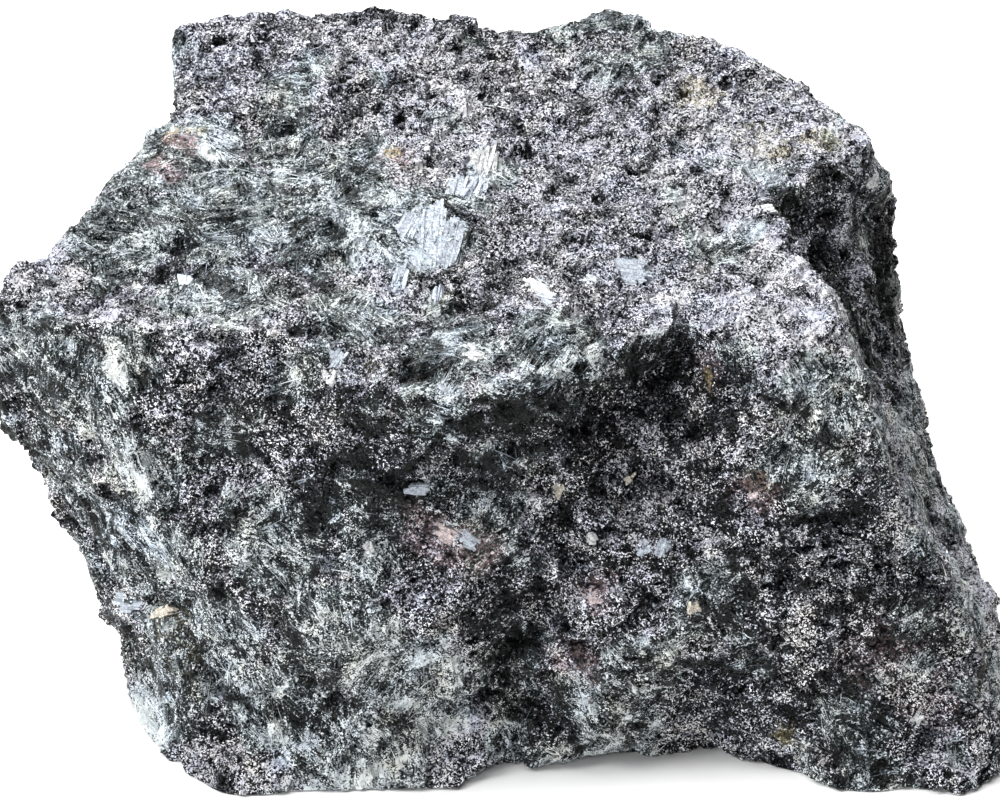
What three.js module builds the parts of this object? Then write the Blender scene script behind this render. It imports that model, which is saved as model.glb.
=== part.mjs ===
// A hand specimen of magnetite ore: one broken block of granular magnetite and fibrous
// amphibole, 102 mm wide, that rests on its uneven underside. Millimetres, +Z up, the origin
// at the bottom centre of its bounding box, the broad broken front facing -Y.
import * as THREE from "three";
import { ConvexHull } from "three/addons/math/ConvexHull.js";
import { ImprovedNoise } from "three/addons/math/ImprovedNoise.js";

// Driving dimensions, in mm
const HEIGHT = 33.7; // from the supporting surface up to the middle of the front view
const VIEW_TILT = THREE.MathUtils.degToRad(32); // the front view looks down by this much
const EDGE_STEP = 3.9; // spacing of the points along a broken edge
const LONGEST_SIDE = 3.75; // of any triangle of the finished skin
const LUMP_SIZE = 13; // breadth of the large swellings
const LUMP_HEIGHT = 1;
const KNOB_SIZE = 5.5; // breadth of the small ones on them
const KNOB_HEIGHT = 0.7;
const CHIP_SIZE = 8; // breadth of the flat chips of the broken faces
const CHIP_SLOPE = 0.13; // how far a chip leans out of the face
const EDGE_SHARE = 0.15; // of that relief, on the broken edges
const MIDDLE = new THREE.Vector3(9, 10, 24); // every part of the skin is seen from here

const TILT_COS = Math.cos(VIEW_TILT);
const TILT_SIN = Math.sin(VIEW_TILT);

// A corner given as it lies in the front view: across to the right, up the view, and nearer
// to the eye, all from the middle of that view.
function seen([across, up, near]) {
  return new THREE.Vector3(
    across,
    up * TILT_SIN - near * TILT_COS,
    HEIGHT + up * TILT_COS + near * TILT_SIN,
  );
}

// A corner of the front view that lies on the supporting surface, which gives its depth.
function onGround([across, up]) {
  return seen([across, up, -(HEIGHT + up * TILT_COS) / TILT_SIN]);
}

const placed = ([x, y, z]) => new THREE.Vector3(x, y, z);

// ---- The broken edges, each a line of corners ----

// The far rim of the top, from its left corner to the right shoulder.
const farRim = [
  [-32.3, 37.7, -21], [-28.4, 38.5, -22], [-24.5, 39.3, -22.5], [-21.7, 39.4, -23],
  [-19.4, 38.9, -22.5], [-12.5, 39.8, -23], [-9, 39.4, -23], [-7.3, 38.7, -22],
  [-3.3, 38.5, -22], [-1.8, 37.5, -21], [0, 37.2, -21], [4.1, 37.6, -21], [7.7, 38, -21],
  [10.2, 39.6, -23], [12.2, 39.4, -22.5], [16.6, 37.7, -21], [20.4, 36.9, -20],
  [22.2, 35.9, -19], [24.2, 34.1, -17], [27.3, 33, -16], [30, 32.4, -15], [31.2, 31.4, -14],
  [34.4, 28.5, -11], [36.4, 26.9, -9], [37.6, 23.7, -10],
].map(seen);

// The right flank's outer edge, down to the ground.
const rightFlank = [
  [37.6, 23.7, -10], [39.5, 19.9, -17], [39.4, 17.7, -18], [39.7, 14.5, -18],
  [40, 11.3, -17], [40.4, 8, -16], [41.1, 4.3, -15], [42.2, 0, -13], [42.8, -3.2, -12],
  [44.2, -8.3, -11], [45.2, -10.8, -11], [46.3, -14.1, -10], [48, -17.1, -10],
  [49.2, -18.7, -10], [50, -21.3, -10], [51, -29, -9],
].map(seen);

// The left end of the granular cap, then the lower left edge of the top to its tip.
const leftRim = [
  [-32.3, 37.7, -21], [-33, 35, -20], [-32.9, 31.8, -17.5], [-32.3, 28.4, -13.5],
  [-32.6, 27.3, -13], [-34.6, 27.6, -14], [-35.5, 26.8, -14], [-36, 24.8, -12],
  [-37.9, 23.5, -9], [-39.8, 21.3, -7], [-40.9, 19, -5.5], [-42.4, 17.7, -4],
  [-44.5, 15.9, -3], [-45, 14.6, -1.5], [-46.3, 13.9, 1], [-47.8, 14, 1.5],
  [-48.9, 13.1, 2], [-49.6, 11.7, 3], [-50.8, 10.5, 4],
].map(seen);

// The left flank's outer edge, under the tip and in towards the foot.
const leftFlank = [
  [-50.8, 10.5, 4], [-51.2, 5, 0.5], [-51, 0, -3], [-50, -2.9, -5], [-47.9, -5, -7],
  [-46.8, -7, -8], [-45.2, -8.9, -9], [-44.7, -11.8, -10], [-43, -13.8, -12],
  [-41.5, -15.6, -13], [-40.8, -18.3, -14], [-39.8, -21, -15], [-38.8, -23, -15.5],
  [-37.6, -25.2, -16], [-36.9, -28.6, -17.5], [-36.9, -31.8, -12.1],
].map(seen);

// The brow between top and front: the left corner, the shelf's lip, the right shoulder.
const brow = [
  [-50.8, 10.5, 4], [-48, 8, 6], [-43.7, 7.3, 9.5], [-39.5, 8.2, 12], [-33, 7.3, 13.8],
  [-27, 7.4, 14.5], [-22, 6.7, 15.8], [-19, 5.3, 17], [-16.6, 3, 18.8], [-13.5, 1.5, 20],
  [-10, 0.9, 20.8], [-6.5, 0.6, 21.3], [-3.4, 0.7, 21.4], [0, 0.9, 21.2], [3, 1, 20.8],
  [5.6, 1.6, 19.6], [7, 2.8, 18.4], [9, 3.9, 17], [11, 5.3, 15.2], [14.5, 6.4, 13.2],
  [17.2, 7.5, 12], [19, 7.6, 11.8], [21.5, 6.7, 12.3], [24.5, 5, 13.4], [26.4, 3, 14.6],
  [27, 0.3, 15.2],
].map(seen);

// The shelf's lower edge, and the back of the hollow that it overhangs.
const shelfFoot = [
  [-15.5, -0.8, 18.6], [-12.5, -3.2, 18.6], [-9.6, -4.8, 18.6], [-6.2, -4.4, 19],
  [-4.2, -3, 19.6], [-2, -1.6, 19.9], [1.5, -1.4, 19.8], [4.6, -2.1, 18.9],
  [6.2, -1.4, 17.8], [8, 0.4, 16.4], [10.6, 2.6, 14.6], [13.6, 4.5, 12.6],
].map(seen);
const hollowBack = [
  [-10, -6.2, 15.6], [-5.4, -5.8, 14.6], [-2.2, -3.8, 14.2], [1.5, -3.2, 13.6],
  [4.8, -3.8, 12.8], [7.4, -2.4, 11.4], [9.8, -0.4, 10.2], [12.6, 1.4, 9.2],
  [15.2, 3.4, 8.2], [17.8, 5.6, 8.2],
].map(seen);

// The alcove at the hollow's upper right: its dark left wall, and its pale right cheek.
const alcove = [
  [17.6, 4.6, 8.6], [20.4, 4, 9.8], [23.2, 3, 12], [15.6, 1.4, 8], [18.4, 0.8, 8.4],
  [21.4, 0.2, 10.2], [24.2, -0.8, 12.4], [15.8, -2.8, 7.8], [19, -3.2, 8.8],
  [22.2, -3.6, 10.8], [15.6, -7.7, 7.6], [12.6, -7.4, 7.6], [18.2, -8.6, 8.8],
].map(seen);

// The gully that runs down the front from the hollow.
const gully = [
  [7.6, -8.8, 9], [7, -13, 7.6], [6.9, -17, 6.2], [5.6, -19.4, 4.6], [4.2, -21.6, 3.2],
  [1.6, -23.8, 1.4], [0, -26.8, -0.6], [1.8, -29.4, -2.2], [1.6, -33, -4],
].map(seen);

// The two edges of the pale band between the left flank and the front.
const bandFront = [
  [-38.6, 6, 11.6], [-38, 3, 10.6], [-37.4, -1, 9.4], [-36.4, -5, 8.6], [-34.5, -10, 6.8],
  [-32.4, -14.5, 5.6], [-30, -18.5, 4.6], [-27, -22, 3.6], [-24, -25.6, 2.6],
  [-22.4, -29.5, 1.2], [-22, -34.5, -0.8],
].map(seen);
const bandLeft = [
  [-40.4, 5, 10], [-40.6, 1, 7.4], [-41, -3, 5], [-39.6, -8, 2.8], [-37.6, -13, 0.8],
  [-35.4, -17.4, -0.8], [-32.6, -19.8, -1],
].map(seen);

// The lower left block, with its small step and its pale end face.
const leftBlock = [
  [-37.6, -25.2, -14.2], [-36.2, -22.8, -8.4], [-33.8, -20.8, -3.2], [-30.6, -20.6, 0.4],
  [-28.4, -24.8, 0.2], [-26.8, -29.4, -0.8], [-26.4, -34, -2.4],
].map(seen);
const paleEnd = [
  [-36.9, -28.6, -16], [-34.6, -27.6, -8.6], [-33.2, -31, -7.2], [-32.6, -36, -5.2],
].map(seen);

// The right shoulder: the edge between the lit top, the front and the dark right flank.
const shoulder = [
  [37.6, 23.7, -10], [36.9, 24.2, -6.6], [34.9, 24.1, -5.4], [32.6, 23, -4],
  [30.4, 21.6, -2.6], [27.4, 20.3, -1.4], [28.2, 17.6, 1.6], [29.8, 14.8, 4.6],
  [31.4, 12.4, 7], [33, 10.6, 9.2], [33.6, 8.2, 11], [34.8, 5.6, 12.4], [36, 3.2, 13],
  [37, 1, 13.4], [37.2, -2.2, 13.4], [38, -6.4, 12], [39.6, -9.6, 10.2],
  [41.2, -12.6, 8.4], [43.2, -16.6, 5.6], [45.6, -19.8, 3.2], [47.2, -24, 0.6],
  [48.6, -29, -1.4],
].map(seen);

// The step where the granular cap ends above the fibrous lower left of the top.
const capEdge = [
  [-31.8, 27.8, -12.4], [-29, 26.2, -9.6], [-26.4, 24.4, -7.2], [-22.6, 22.8, -5],
  [-17.8, 20.8, -2.4], [-14.6, 18, 1], [-13.6, 15, 4],
].map(seen);
const capFoot = [
  [-34.8, 25.6, -11.6], [-30.6, 22.8, -7.2], [-26.4, 20.4, -4.2], [-21.8, 18.4, -2],
  [-18, 16, 0.6], [-16.6, 13, 3.8],
].map(seen);

// The foot of the front, where it meets the ground, and the hidden foot of sides and back.
const frontFoot = [
  [-36.8, -32], [-35.6, -33.8], [-33.4, -36.4], [-31.8, -37.5], [-30.2, -38.4],
  [-28.2, -39.5], [-24.5, -39.8], [-21, -39.3], [-14.9, -39.2], [-9, -39.1],
  [-4.6, -39.1], [-3.3, -37.8], [-1.4, -37.1], [0.2, -36.7], [2.8, -37.1], [7.2, -35.8],
  [11.8, -34.8], [15.3, -36], [19, -35.4], [22, -35.2], [25, -36], [28, -36.5],
  [30, -37.5], [31.3, -38.3], [33.2, -39.2], [37, -39.4], [38.4, -38.9], [42.3, -39.2],
  [47, -39.3], [49.9, -37.7], [51.2, -34],
].map(onGround);
const backFoot = [
  [51.2, -10.2, 0.8], [50, 2, 1.5], [44, 15, 1], [36, 25, 0], [26, 31, 0], [16, 35, 0],
  [5, 37, 0], [-8, 36, 0.6], [-20, 33, 1.6], [-28, 27, 1], [-34, 18, 1.4], [-37, 8, 1],
  [-37, 1, 0.8],
].map(placed);

// A blunt edge that divides the hidden back, and one down its left corner.
const backEdge = [
  [12, 39.5, 55], [15, 43, 44], [10, 44, 30], [14, 41.5, 16], [12, 37.5, 3],
].map(placed);
const backCorner = [
  [-32.4, 37.6, 53.6], [-32.6, 36.6, 44], [-36, 33, 27], [-33, 30, 12], [-29, 28, 3],
].map(placed);

// ---- Single corners inside the faces ----
const topCorners = [
  [-24, 33, -15.6], [-17, 28.8, -10.8], [-10, 34, -16.4], [-4, 29.6, -12.4],
  [4.6, 33.6, -18.4], [11, 32.6, -14.8], [20, 30, -12], [23.4, 31, -15.4], [-8, 24, -5.6],
  [1, 22.8, -5.8], [9.6, 24.6, -6.8], [17.6, 21, -3], [23, 17, 1.4], [-7, 17, 2.4],
  [2, 15.6, 2.2], [11, 14.6, 4.4], [18, 12.6, 6.8], [28.6, 26, -8], [31, 29, -11.4],
  [-41, 16.6, -2.6], [-38, 11, 4], [-32.6, 18.4, -2.4], [-31, 12.6, 4.4],
  [-25, 14.4, 1.8], [-22, 10.6, 7.2], [-12.4, 10.6, 8.2], [-4.6, 10, 9.6], [-9, 4.6, 15.6],
  [-2.4, 5, 15.8], [5, 7.6, 13.2], [11, 9.2, 11.6], [24.4, 11.4, 8.4], [-44, 12, 1.2],
  [28.4, 9, 10.6], [31, 7, 12.6], [-17, 7, 13.2],
].map(seen);
const frontCorners = [
  [-33, -2, 10.4], [-27, 1.6, 13.2], [-21.4, -1.8, 13], [-16.4, -6.4, 14.4],
  [-27.6, -6.6, 8.8], [-22, -9, 9.8], [-14, -12, 11.6], [-28.4, -12.8, 8.2],
  [-21.4, -16, 8.6], [-24.6, -20, 7.4], [-15.4, -19.4, 9.6], [-18.4, -26, 6.2],
  [-10.6, -25, 7.8], [-14, -31.6, 3.2], [-5.6, -29.8, 3.6], [-7, -21.4, 8.2],
  [-3.6, -16, 9.6], [-7.6, -10, 12], [-3, -8.6, 11.8], [1.4, -11.4, 10.8],
  [2.4, -7.4, 11.4], [3.2, -15.6, 8.8], [-1.4, -20.6, 6.8], [11.6, -12.4, 7.8],
  [13.4, -17, 7.4], [17.6, -14, 8.4], [24, -6, 11.6], [24, -12.6, 9.4], [30, -6.6, 12.8],
  [30.6, -13, 9], [9.6, -21.4, 6], [8, -26.8, 3.6], [11, -31.6, 0.8], [17.6, -21.6, 5.8],
  [18, -28, 2.8], [24.6, -20, 6], [24.4, -29.4, 1], [33.6, -9, 11.8], [35.6, -15.4, 8.4],
  [31, -20.6, 6.4], [37.6, -22, 5.6], [33.6, -29.6, 2], [41, -26.6, 2.8],
  [41.6, -33.4, 0.2], [29.4, 2.4, 14.4], [33, -1.6, 14.2], [-9.4, -35.6, 1],
  [29, -33.6, -0.6], [-18, -36, 0.4],
].map(seen);
const flankCorners = [
  [-46.4, 5, 4.6], [-45.6, -0.6, 0.6], [-42.6, -6.6, -1.8], [-40, -12.6, -4.6],
  [-38.4, -18.6, -8], [-34.6, -24.6, -4.6], [-30.8, -30.4, -3.2], [-29.8, -35.6, -4],
].map(seen);
const rightCorners = [
  [30.4, 18.4, -4.2], [33.4, 19.4, -7], [36.8, 19, -12], [31, 15.4, -2.6],
  [34.2, 15.4, -6.4], [37.4, 14.4, -12], [33, 11.4, -0.8], [36, 10.4, -5],
  [38.6, 8.4, -10.6], [35, 7.4, 1.8], [37.6, 5.4, -3.4], [37.4, 2, 3.8],
  [39.6, 0.4, -2.8], [38.6, -4.4, 5], [41, -6.4, -1.8], [40.6, -9, 3.8],
  [43.2, -12, -1.8], [46.2, -17, -3.4], [49, -23, -5],
].map(seen);
const hiddenCorners = [
  [-48, 7, 32], [-45, 16, 30], [-41, 10, 16], [-45, 9, 42], [-40, 22, 38], [-38, 26, 24],
  [-20, 41, 36], [-22, 37, 18], [-8, 41.5, 48], [-6, 40.5, 24], [0, 43, 37], [24, 40.5, 36],
  [27, 35, 14], [34, 31, 36], [38, 23, 22], [42, 11, 20], [45, 2, 10], [33, 31, 46],
  [24, 38.4, 48], [39.2, 21, 33], [-32.3, 28.9, 48.6], [-32.2, 33.5, 49],
].map(placed);

// The underside: three blunt feet that touch the supporting surface, and a raised middle.
const feet = [
  [-24, -14, 0], [-14, -13, 0], [-8, -15, 0], [-18, -17, 0], [34, -14, 0], [42, -13, 0],
  [38, -17, 0], [30, 24, 0], [16, 28, 0], [8, 30, 0], [22, 24, 0],
].map(placed);
const underside = [
  [-29, -4, 2.4], [-24, 8, 3.2], [-14, 20, 3], [-8, -4, 3], [-6, 10, 3.8], [2, -12, 3.4],
  [4, 22, 2.6], [10, -4, 4], [12, 12, 4.2], [18, -13, 3.6], [26, -4, 3.2], [27, 10, 3.4],
  [38, 2, 2.6], [45, -4, 2.2],
].map(placed);

// ---- From corners to skin ----

// The corners of a broken edge with more in between, at most EDGE_STEP apart.
function filled(line) {
  const points = [line[0]];
  for (let i = 1; i < line.length; i++) {
    const steps = Math.ceil(line[i].distanceTo(line[i - 1]) / EDGE_STEP);
    for (let s = 1; s <= steps; s++) {
      points.push(line[i - 1].clone().lerp(line[i], s / steps));
    }
  }
  return points;
}

// Each corner once, however many edges meet there.
function distinct(points) {
  const kept = [];
  for (const point of points) {
    if (kept.every((other) => other.distanceTo(point) > 0.8)) kept.push(point);
  }
  return kept;
}

// Triangles over the corners: the hull of their directions from MIDDLE joins each corner to
// its nearest neighbours.
function wrapped(points) {
  const directions = points.map((point) => point.clone().sub(MIDDLE).normalize());
  const index = new Map(directions.map((direction, i) => [direction, i]));
  return new ConvexHull().setFromPoints(directions).faces.map(({ edge }) =>
    [edge, edge.next, edge.prev].map((side) => index.get(side.head().point)),
  );
}

// One triangle cut at the middles of its long sides. A middle of -1 is a side that stays.
function cut(points, [a, b, c], [ab, bc, ca]) {
  const count = [ab, bc, ca].filter((middle) => middle >= 0).length;
  if (count === 0) return [[a, b, c]];
  if (count === 3) return [[a, ab, ca], [ab, b, bc], [ca, bc, c], [ab, bc, ca]];
  if (ab < 0 || (count === 2 && bc < 0)) return cut(points, [b, c, a], [bc, ca, ab]);
  if (count === 1) return [[a, ab, c], [ab, b, c]];
  if (points[a].distanceTo(points[bc]) < points[ab].distanceTo(points[c])) {
    return [[ab, b, bc], [a, ab, bc], [a, bc, c]];
  }
  return [[ab, b, bc], [ab, bc, c], [a, ab, c]];
}

// The triangles with every side longer than the limit halved. New corners join the points.
function halved(points, triangles, limit) {
  const middles = new Map();
  const middle = (a, b) => {
    const key = Math.min(a, b) + " " + Math.max(a, b);
    if (!middles.has(key)) {
      const long = points[a].distanceTo(points[b]) > limit;
      middles.set(key, long ? points.push(points[a].clone().lerp(points[b], 0.5)) - 1 : -1);
    }
    return middles.get(key);
  };
  return triangles.flatMap(([a, b, c]) =>
    cut(points, [a, b, c], [middle(a, b), middle(b, c), middle(c, a)]),
  );
}

// The unit normal of a triangle.
function normalOf(a, b, c) {
  return b.clone().sub(a).cross(c.clone().sub(a)).normalize();
}

// The angle at a corner between two others.
function angleAt(corner, a, b) {
  return a.clone().sub(corner).angleTo(b.clone().sub(corner));
}

// Pairs of neighbouring triangles with their shared side swapped where that makes them
// rounder. A pair that stands across a sharp edge keeps it, and so does one whose side joins
// two of the first few corners, which lie on the broken edges.
function evened(points, triangles, onEdges) {
  const across = new Map();
  triangles.forEach((triangle, t) => {
    triangle.forEach((corner, i) => {
      across.set(corner + " " + triangle[(i + 1) % 3], [t, triangle[(i + 2) % 3]]);
    });
  });
  const changed = new Set();
  const result = [...triangles];
  for (const [side, [t, c]] of [...across]) {
    const [a, b] = side.split(" ").map(Number);
    const [u, d] = across.get(b + " " + a);
    if (a > b || changed.has(t) || changed.has(u)) continue;
    if (a < onEdges && b < onEdges) continue;
    if (across.has(c + " " + d) || across.has(d + " " + c)) continue;
    const [A, B, C, D] = [a, b, c, d].map((i) => points[i]);
    if (angleAt(C, A, B) + angleAt(D, A, B) < Math.PI + 0.01) continue;
    const old = [normalOf(A, B, C), normalOf(B, A, D)];
    const swapped = [normalOf(A, D, C), normalOf(D, B, C)];
    if (old[0].dot(old[1]) < 0.8) continue;
    if (swapped.some((normal) => normal.dot(old[0]) < 0.6)) continue;
    across.set(c + " " + d, [t, a]);
    result[t] = [a, d, c];
    result[u] = [d, b, c];
    changed.add(t).add(u);
  }
  return result;
}

// The neighbours of each corner.
function neighbours(points, triangles) {
  const near = points.map(() => new Set());
  for (const [a, b, c] of triangles) {
    near[a].add(b).add(c);
    near[b].add(c).add(a);
    near[c].add(a).add(b);
  }
  return near;
}

// Each corner that is not on a broken edge drawn part of the way to the middle of its neighbours.
// Feet stay flat.
function eased(points, triangles, onEdges, share) {
  return neighbours(points, triangles).map((near, i) => {
    if (i < onEdges) return points[i];
    const mean = new THREE.Vector3();
    near.forEach((n) => mean.add(points[n]));
    const moved = points[i].clone().lerp(mean.divideScalar(near.size), share);
    if (points[i].z < 0.01) moved.z = 0;
    return moved;
  });
}

// ---- The broken, lumpy surface ----
const noise = new ImprovedNoise();

// A fixed scattered number from 0 to 1 for a cell of space.
function scattered(x, y, z, salt) {
  const value = Math.sin(x * 127.1 + y * 311.7 + z * 74.7 + salt * 53.3) * 43758.5453;
  return value - Math.floor(value);
}

// How far the flat chip over this place stands out: space is split into uneven cells, and
// within each the surface leans one way.
function chipped({ x, y, z }) {
  const home = [x, y, z].map((value) => Math.floor(value / CHIP_SIZE));
  let nearest = Infinity;
  let height = 0;
  for (let n = 0; n < 27; n++) {
    const [i, j, k] = [n % 3, Math.floor(n / 3) % 3, Math.floor(n / 9)].map(
      (step, axis) => home[axis] + step - 1,
    );
    const away = new THREE.Vector3(
      x - (i + scattered(i, j, k, 1)) * CHIP_SIZE,
      y - (j + scattered(i, j, k, 2)) * CHIP_SIZE,
      z - (k + scattered(i, j, k, 3)) * CHIP_SIZE,
    );
    if (away.length() > nearest) continue;
    nearest = away.length();
    const lean = [4, 5, 6].map((salt) => scattered(i, j, k, salt) - 0.5);
    height = away.dot(new THREE.Vector3(...lean).normalize()) * CHIP_SLOPE;
  }
  return height;
}

// How far the surface stands out at this place.
function relief(point) {
  const swell = ({ x, y, z }, size) => noise.noise(x / size + 7.3, y / size + 2.9, z / size + 5.1);
  const lumps = swell(point, LUMP_SIZE) * LUMP_HEIGHT + swell(point, KNOB_SIZE) * KNOB_HEIGHT;
  return lumps + chipped(point);
}

// Each corner moved out along the mean normal of its triangles by the relief there, and the
// first few, which lie on the broken edges, by less.
function roughened(points, triangles, onEdges) {
  const outward = points.map(() => new THREE.Vector3());
  for (const [a, b, c] of triangles) {
    const normal = normalOf(points[a], points[b], points[c]);
    for (const corner of [a, b, c]) outward[corner].add(normal);
  }
  return points.map((point, i) => {
    if (point.z < 0.01) return point;
    const height = relief(point) * (i < onEdges ? EDGE_SHARE : 1);
    const moved = point.clone().addScaledVector(outward[i].normalize(), height);
    moved.z = Math.max(moved.z, 0.2);
    return moved;
  });
}

// ---- The stone ----
const edges = [
  farRim, rightFlank, leftRim, leftFlank, brow, shelfFoot, gully, bandFront, bandLeft,
  leftBlock, paleEnd, shoulder, frontFoot, backFoot, backEdge, backCorner,
];
const edgeCorners = distinct(edges.flatMap(filled));
const onEdges = edgeCorners.length;
let corners = distinct([
  ...edgeCorners, ...capEdge, ...capFoot, ...hollowBack, ...alcove, ...topCorners,
  ...frontCorners, ...flankCorners, ...rightCorners, ...hiddenCorners, ...feet,
  ...underside,
]);
let triangles = wrapped(corners);
for (const limit of [16, 10, 7, 5, LONGEST_SIDE]) {
  triangles = halved(corners, triangles, limit);
  triangles = evened(corners, triangles, onEdges);
  triangles = evened(corners, triangles, onEdges);
}
for (const share of [0.3, 0.3]) corners = eased(corners, triangles, onEdges, share);
corners = roughened(corners, triangles, onEdges);

const geometry = new THREE.BufferGeometry().setFromPoints(corners);
geometry.setIndex(triangles.flat());
geometry.computeBoundingBox();
const { min, max } = geometry.boundingBox;
geometry.translate(-(min.x + max.x) / 2, -(min.y + max.y) / 2, -min.z);
geometry.computeVertexNormals();

const ore = new THREE.MeshStandardMaterial({ color: 0x4a4d50, roughness: 0.55, metalness: 0.25 });
const stone = new THREE.Mesh(geometry, ore);
stone.name = "magnetite_stone";

const magnetite = new THREE.Group();
magnetite.add(stone);
export default magnetite;
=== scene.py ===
"""A hand specimen of magnetite ore: a broken block of granular magnetite with sheaves of
fibrous amphibole, pale cleavage flakes and a few stains, on a pale floor."""

import math

import bpy
import numpy as np
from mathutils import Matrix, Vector
from mathutils.bvhtree import BVHTree


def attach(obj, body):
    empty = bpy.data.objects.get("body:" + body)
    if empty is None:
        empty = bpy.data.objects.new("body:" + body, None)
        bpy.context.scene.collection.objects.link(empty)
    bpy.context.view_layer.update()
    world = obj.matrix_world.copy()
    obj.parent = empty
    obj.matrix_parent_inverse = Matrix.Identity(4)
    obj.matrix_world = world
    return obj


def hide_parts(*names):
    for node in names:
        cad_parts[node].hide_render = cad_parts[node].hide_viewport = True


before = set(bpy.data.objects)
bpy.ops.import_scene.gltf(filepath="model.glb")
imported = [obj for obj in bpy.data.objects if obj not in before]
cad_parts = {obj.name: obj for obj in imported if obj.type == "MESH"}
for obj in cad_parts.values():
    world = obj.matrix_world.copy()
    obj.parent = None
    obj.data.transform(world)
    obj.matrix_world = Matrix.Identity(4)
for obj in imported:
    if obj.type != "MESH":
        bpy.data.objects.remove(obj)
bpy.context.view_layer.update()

MM = 0.001
BODY = "root"

# The front view, which the camera takes and in which the marks of the stone are placed
VIEW_TILT = math.radians(32)  # it looks down by this much
VIEW_MIDDLE = Vector((-0.1865, -11.397, 33.7)) * MM
VIEW_WIDTH = 100 * MM
CAMERA_DISTANCE = 3.0
SENSOR_WIDTH = 36  # mm

ACROSS = Vector((1, 0, 0))
UP = Vector((0, math.sin(VIEW_TILT), math.cos(VIEW_TILT)))
NEAR = Vector((0, -math.cos(VIEW_TILT), math.sin(VIEW_TILT)))

# The broken skin. A size is how broad a form is, a height how far it stands out, in mm.
FINE_SPLITS = 3  # each makes four triangles of one
HACKLES = {4.2: 0.75, 2.1: 0.5, 1.1: 0.26, 0.6: 0.12}  # leaning facets, size: height
RIBS = {1.5: 0.26, 0.75: 0.16}  # ridges along the fibres
SPLINTERS = {1.6: 0.4}  # long blades of the fibrous rock
RIB_LENGTH = 7  # times its size
SHEAF = 4.0  # the size of one sheaf of fibres
SMALL_SHEAF = 2.2
HOLE_GAP = 1.7  # between the small holes of the granular rock
HOLE_DEPTH = 0.45
PATCHES = {5.0: 0.18, 2.5: 0.2, 1.3: 0.22, 0.7: 0.22}  # lighter and darker, size: amount
WARMTHS = {2.8: 0.7, 0.9: 0.5}  # warmer and colder, size: amount
CONTRASTS = {1.9: 0.5}  # more and less contrast, size: amount
FORM_BEND = 0.35  # how far the forms are bent, over this size:
BEND_SIZE = 1.5
EDGE_SIZE = 1.6  # of the bays in the edges of marks
FOOT_HEIGHT = 0.25  # what is lower stays flat on the ground

# How much flatter the facets and the holes are in the fibrous rock, and how much painted shade
# the height and the holes give: low places and holes darker, high places lighter
FIBROUS_FLATTER = 0.6
FIBROUS_FEWER_HOLES = 0.7
HEIGHT_PAINTED_SHADE = 0.1
HOLE_PAINTED_SHADE = 0.55

# What stands on the skin
CRYSTAL_SETS = {11: 12000, 12: 12000}  # seed: how many
CRYSTAL_RADIUS = 0.17  # mm
CRYSTAL_SINK = 0.25  # of its radius
CRYSTALS_UNDERNEATH = 0.25  # of their number elsewhere
NEEDLE_SEED = 31
NEEDLE_COUNT = 13000
NEEDLE_RADIUS = 0.035
NEEDLE_LENGTH = 2.2
NEEDLE_RINGS = ((-0.5, 0.3), (0.0, 1.0), (0.5, 0.3))  # place along it, share of its radius
NEEDLE_TURNS = (0.5, 2.6, 4.7)  # of its three edges
NEEDLE_FAN = 0.22
NEEDLES_UNDERNEATH = 0.2

# How steep faces differ from those that lie upward: steep faces are painted darker, a painted
# shade, and get a stronger contrast, partly painted glints, both less where the rock is fibrous;
# the lightest grains of upward faces are painted duller, a painted shade where the light from
# above falls strongest
UPWARD_CONTRAST = 1.1
STEEP_CONTRAST = 1.05  # more than on upward faces, and less by the next where the rock is fibrous
FIBROUS_CONTRAST = 0.3
STEEP_PAINTED_SHADE = 0.52
FIBROUS_LIGHTER = 0.38
UPWARD_PAINTED_DIMMING = 0.2

# Where the rock is fibrous. Across and up in the front view, radius, all in mm, then the
# way the fibres run there, in degrees up from the right, and how far the sheaves stray.
FIBROUS_AREAS = {
    "left face": [
        (-47, 4, 5.5, -68, 20), (-42, 2, 5, -80, 25), (-44, -7, 5, -62, 25),
        (-38, -15, 6, -66, 25),
    ],
    "ridge": [
        (-38, 4, 3.2, -84, 15), (-36.5, -7, 3.6, -72, 15), (-33.5, -15, 3.8, -66, 15),
        (-28, -23, 4.2, -56, 20), (-23, -31, 4.6, -60, 20),
    ],
    "front, left": [
        (-16, -24, 6, -40, 45), (-9, -29, 6.5, -18, 45), (-14, -36, 6, -64, 40),
        (-22, -14, 5, -50, 60), (-31, -26, 5, -62, 30), (-35.5, -31, 4.5, -66, 20),
    ],
    "lower top": [
        (-38, 17, 6, -20, 60), (-28, 19, 6.5, -24, 60), (-18, 17, 5.5, -38, 70),
        (-28, 10.5, 6, 2, 50), (-14, 8, 5, -30, 70), (-30, 25.4, 3.6, -28, 30),
    ],
    "top and ledge": [
        (-9, 17, 5, -62, 50), (-5, 4.6, 5, 12, 30), (6, 5, 5, 24, 30), (-6, -1.4, 3.6, -6, 30),
        (3, -0.6, 3, 10, 30),
    ],
    "right band": [
        (32, 0, 4.6, -80, 40), (38, -4, 3.4, -66, 25), (42.5, -12, 3.8, -60, 25),
        (46.5, -20, 3.6, -58, 25),
    ],
    "front, right": [
        (15, -27, 3.6, -8, 40), (9, -30, 3.6, -30, 40), (12, -34, 4.4, -20, 40),
        (0, -6, 3.6, -80, 30), (35, -32, 3.6, -62, 30),
    ],
}

# Where the rock has no fibres: across, up and radius.
GRANULAR_AREAS = {
    "flank": [(34, 19, 5.5), (36.5, 11, 5), (39, 3.5, 3.5)],
    "shoulder": [(22, 20, 6), (29, 12, 5)],
    "top": [(8, 20, 7)],
    "front": [(12, -18, 6), (34, -22, 6)],
}
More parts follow.
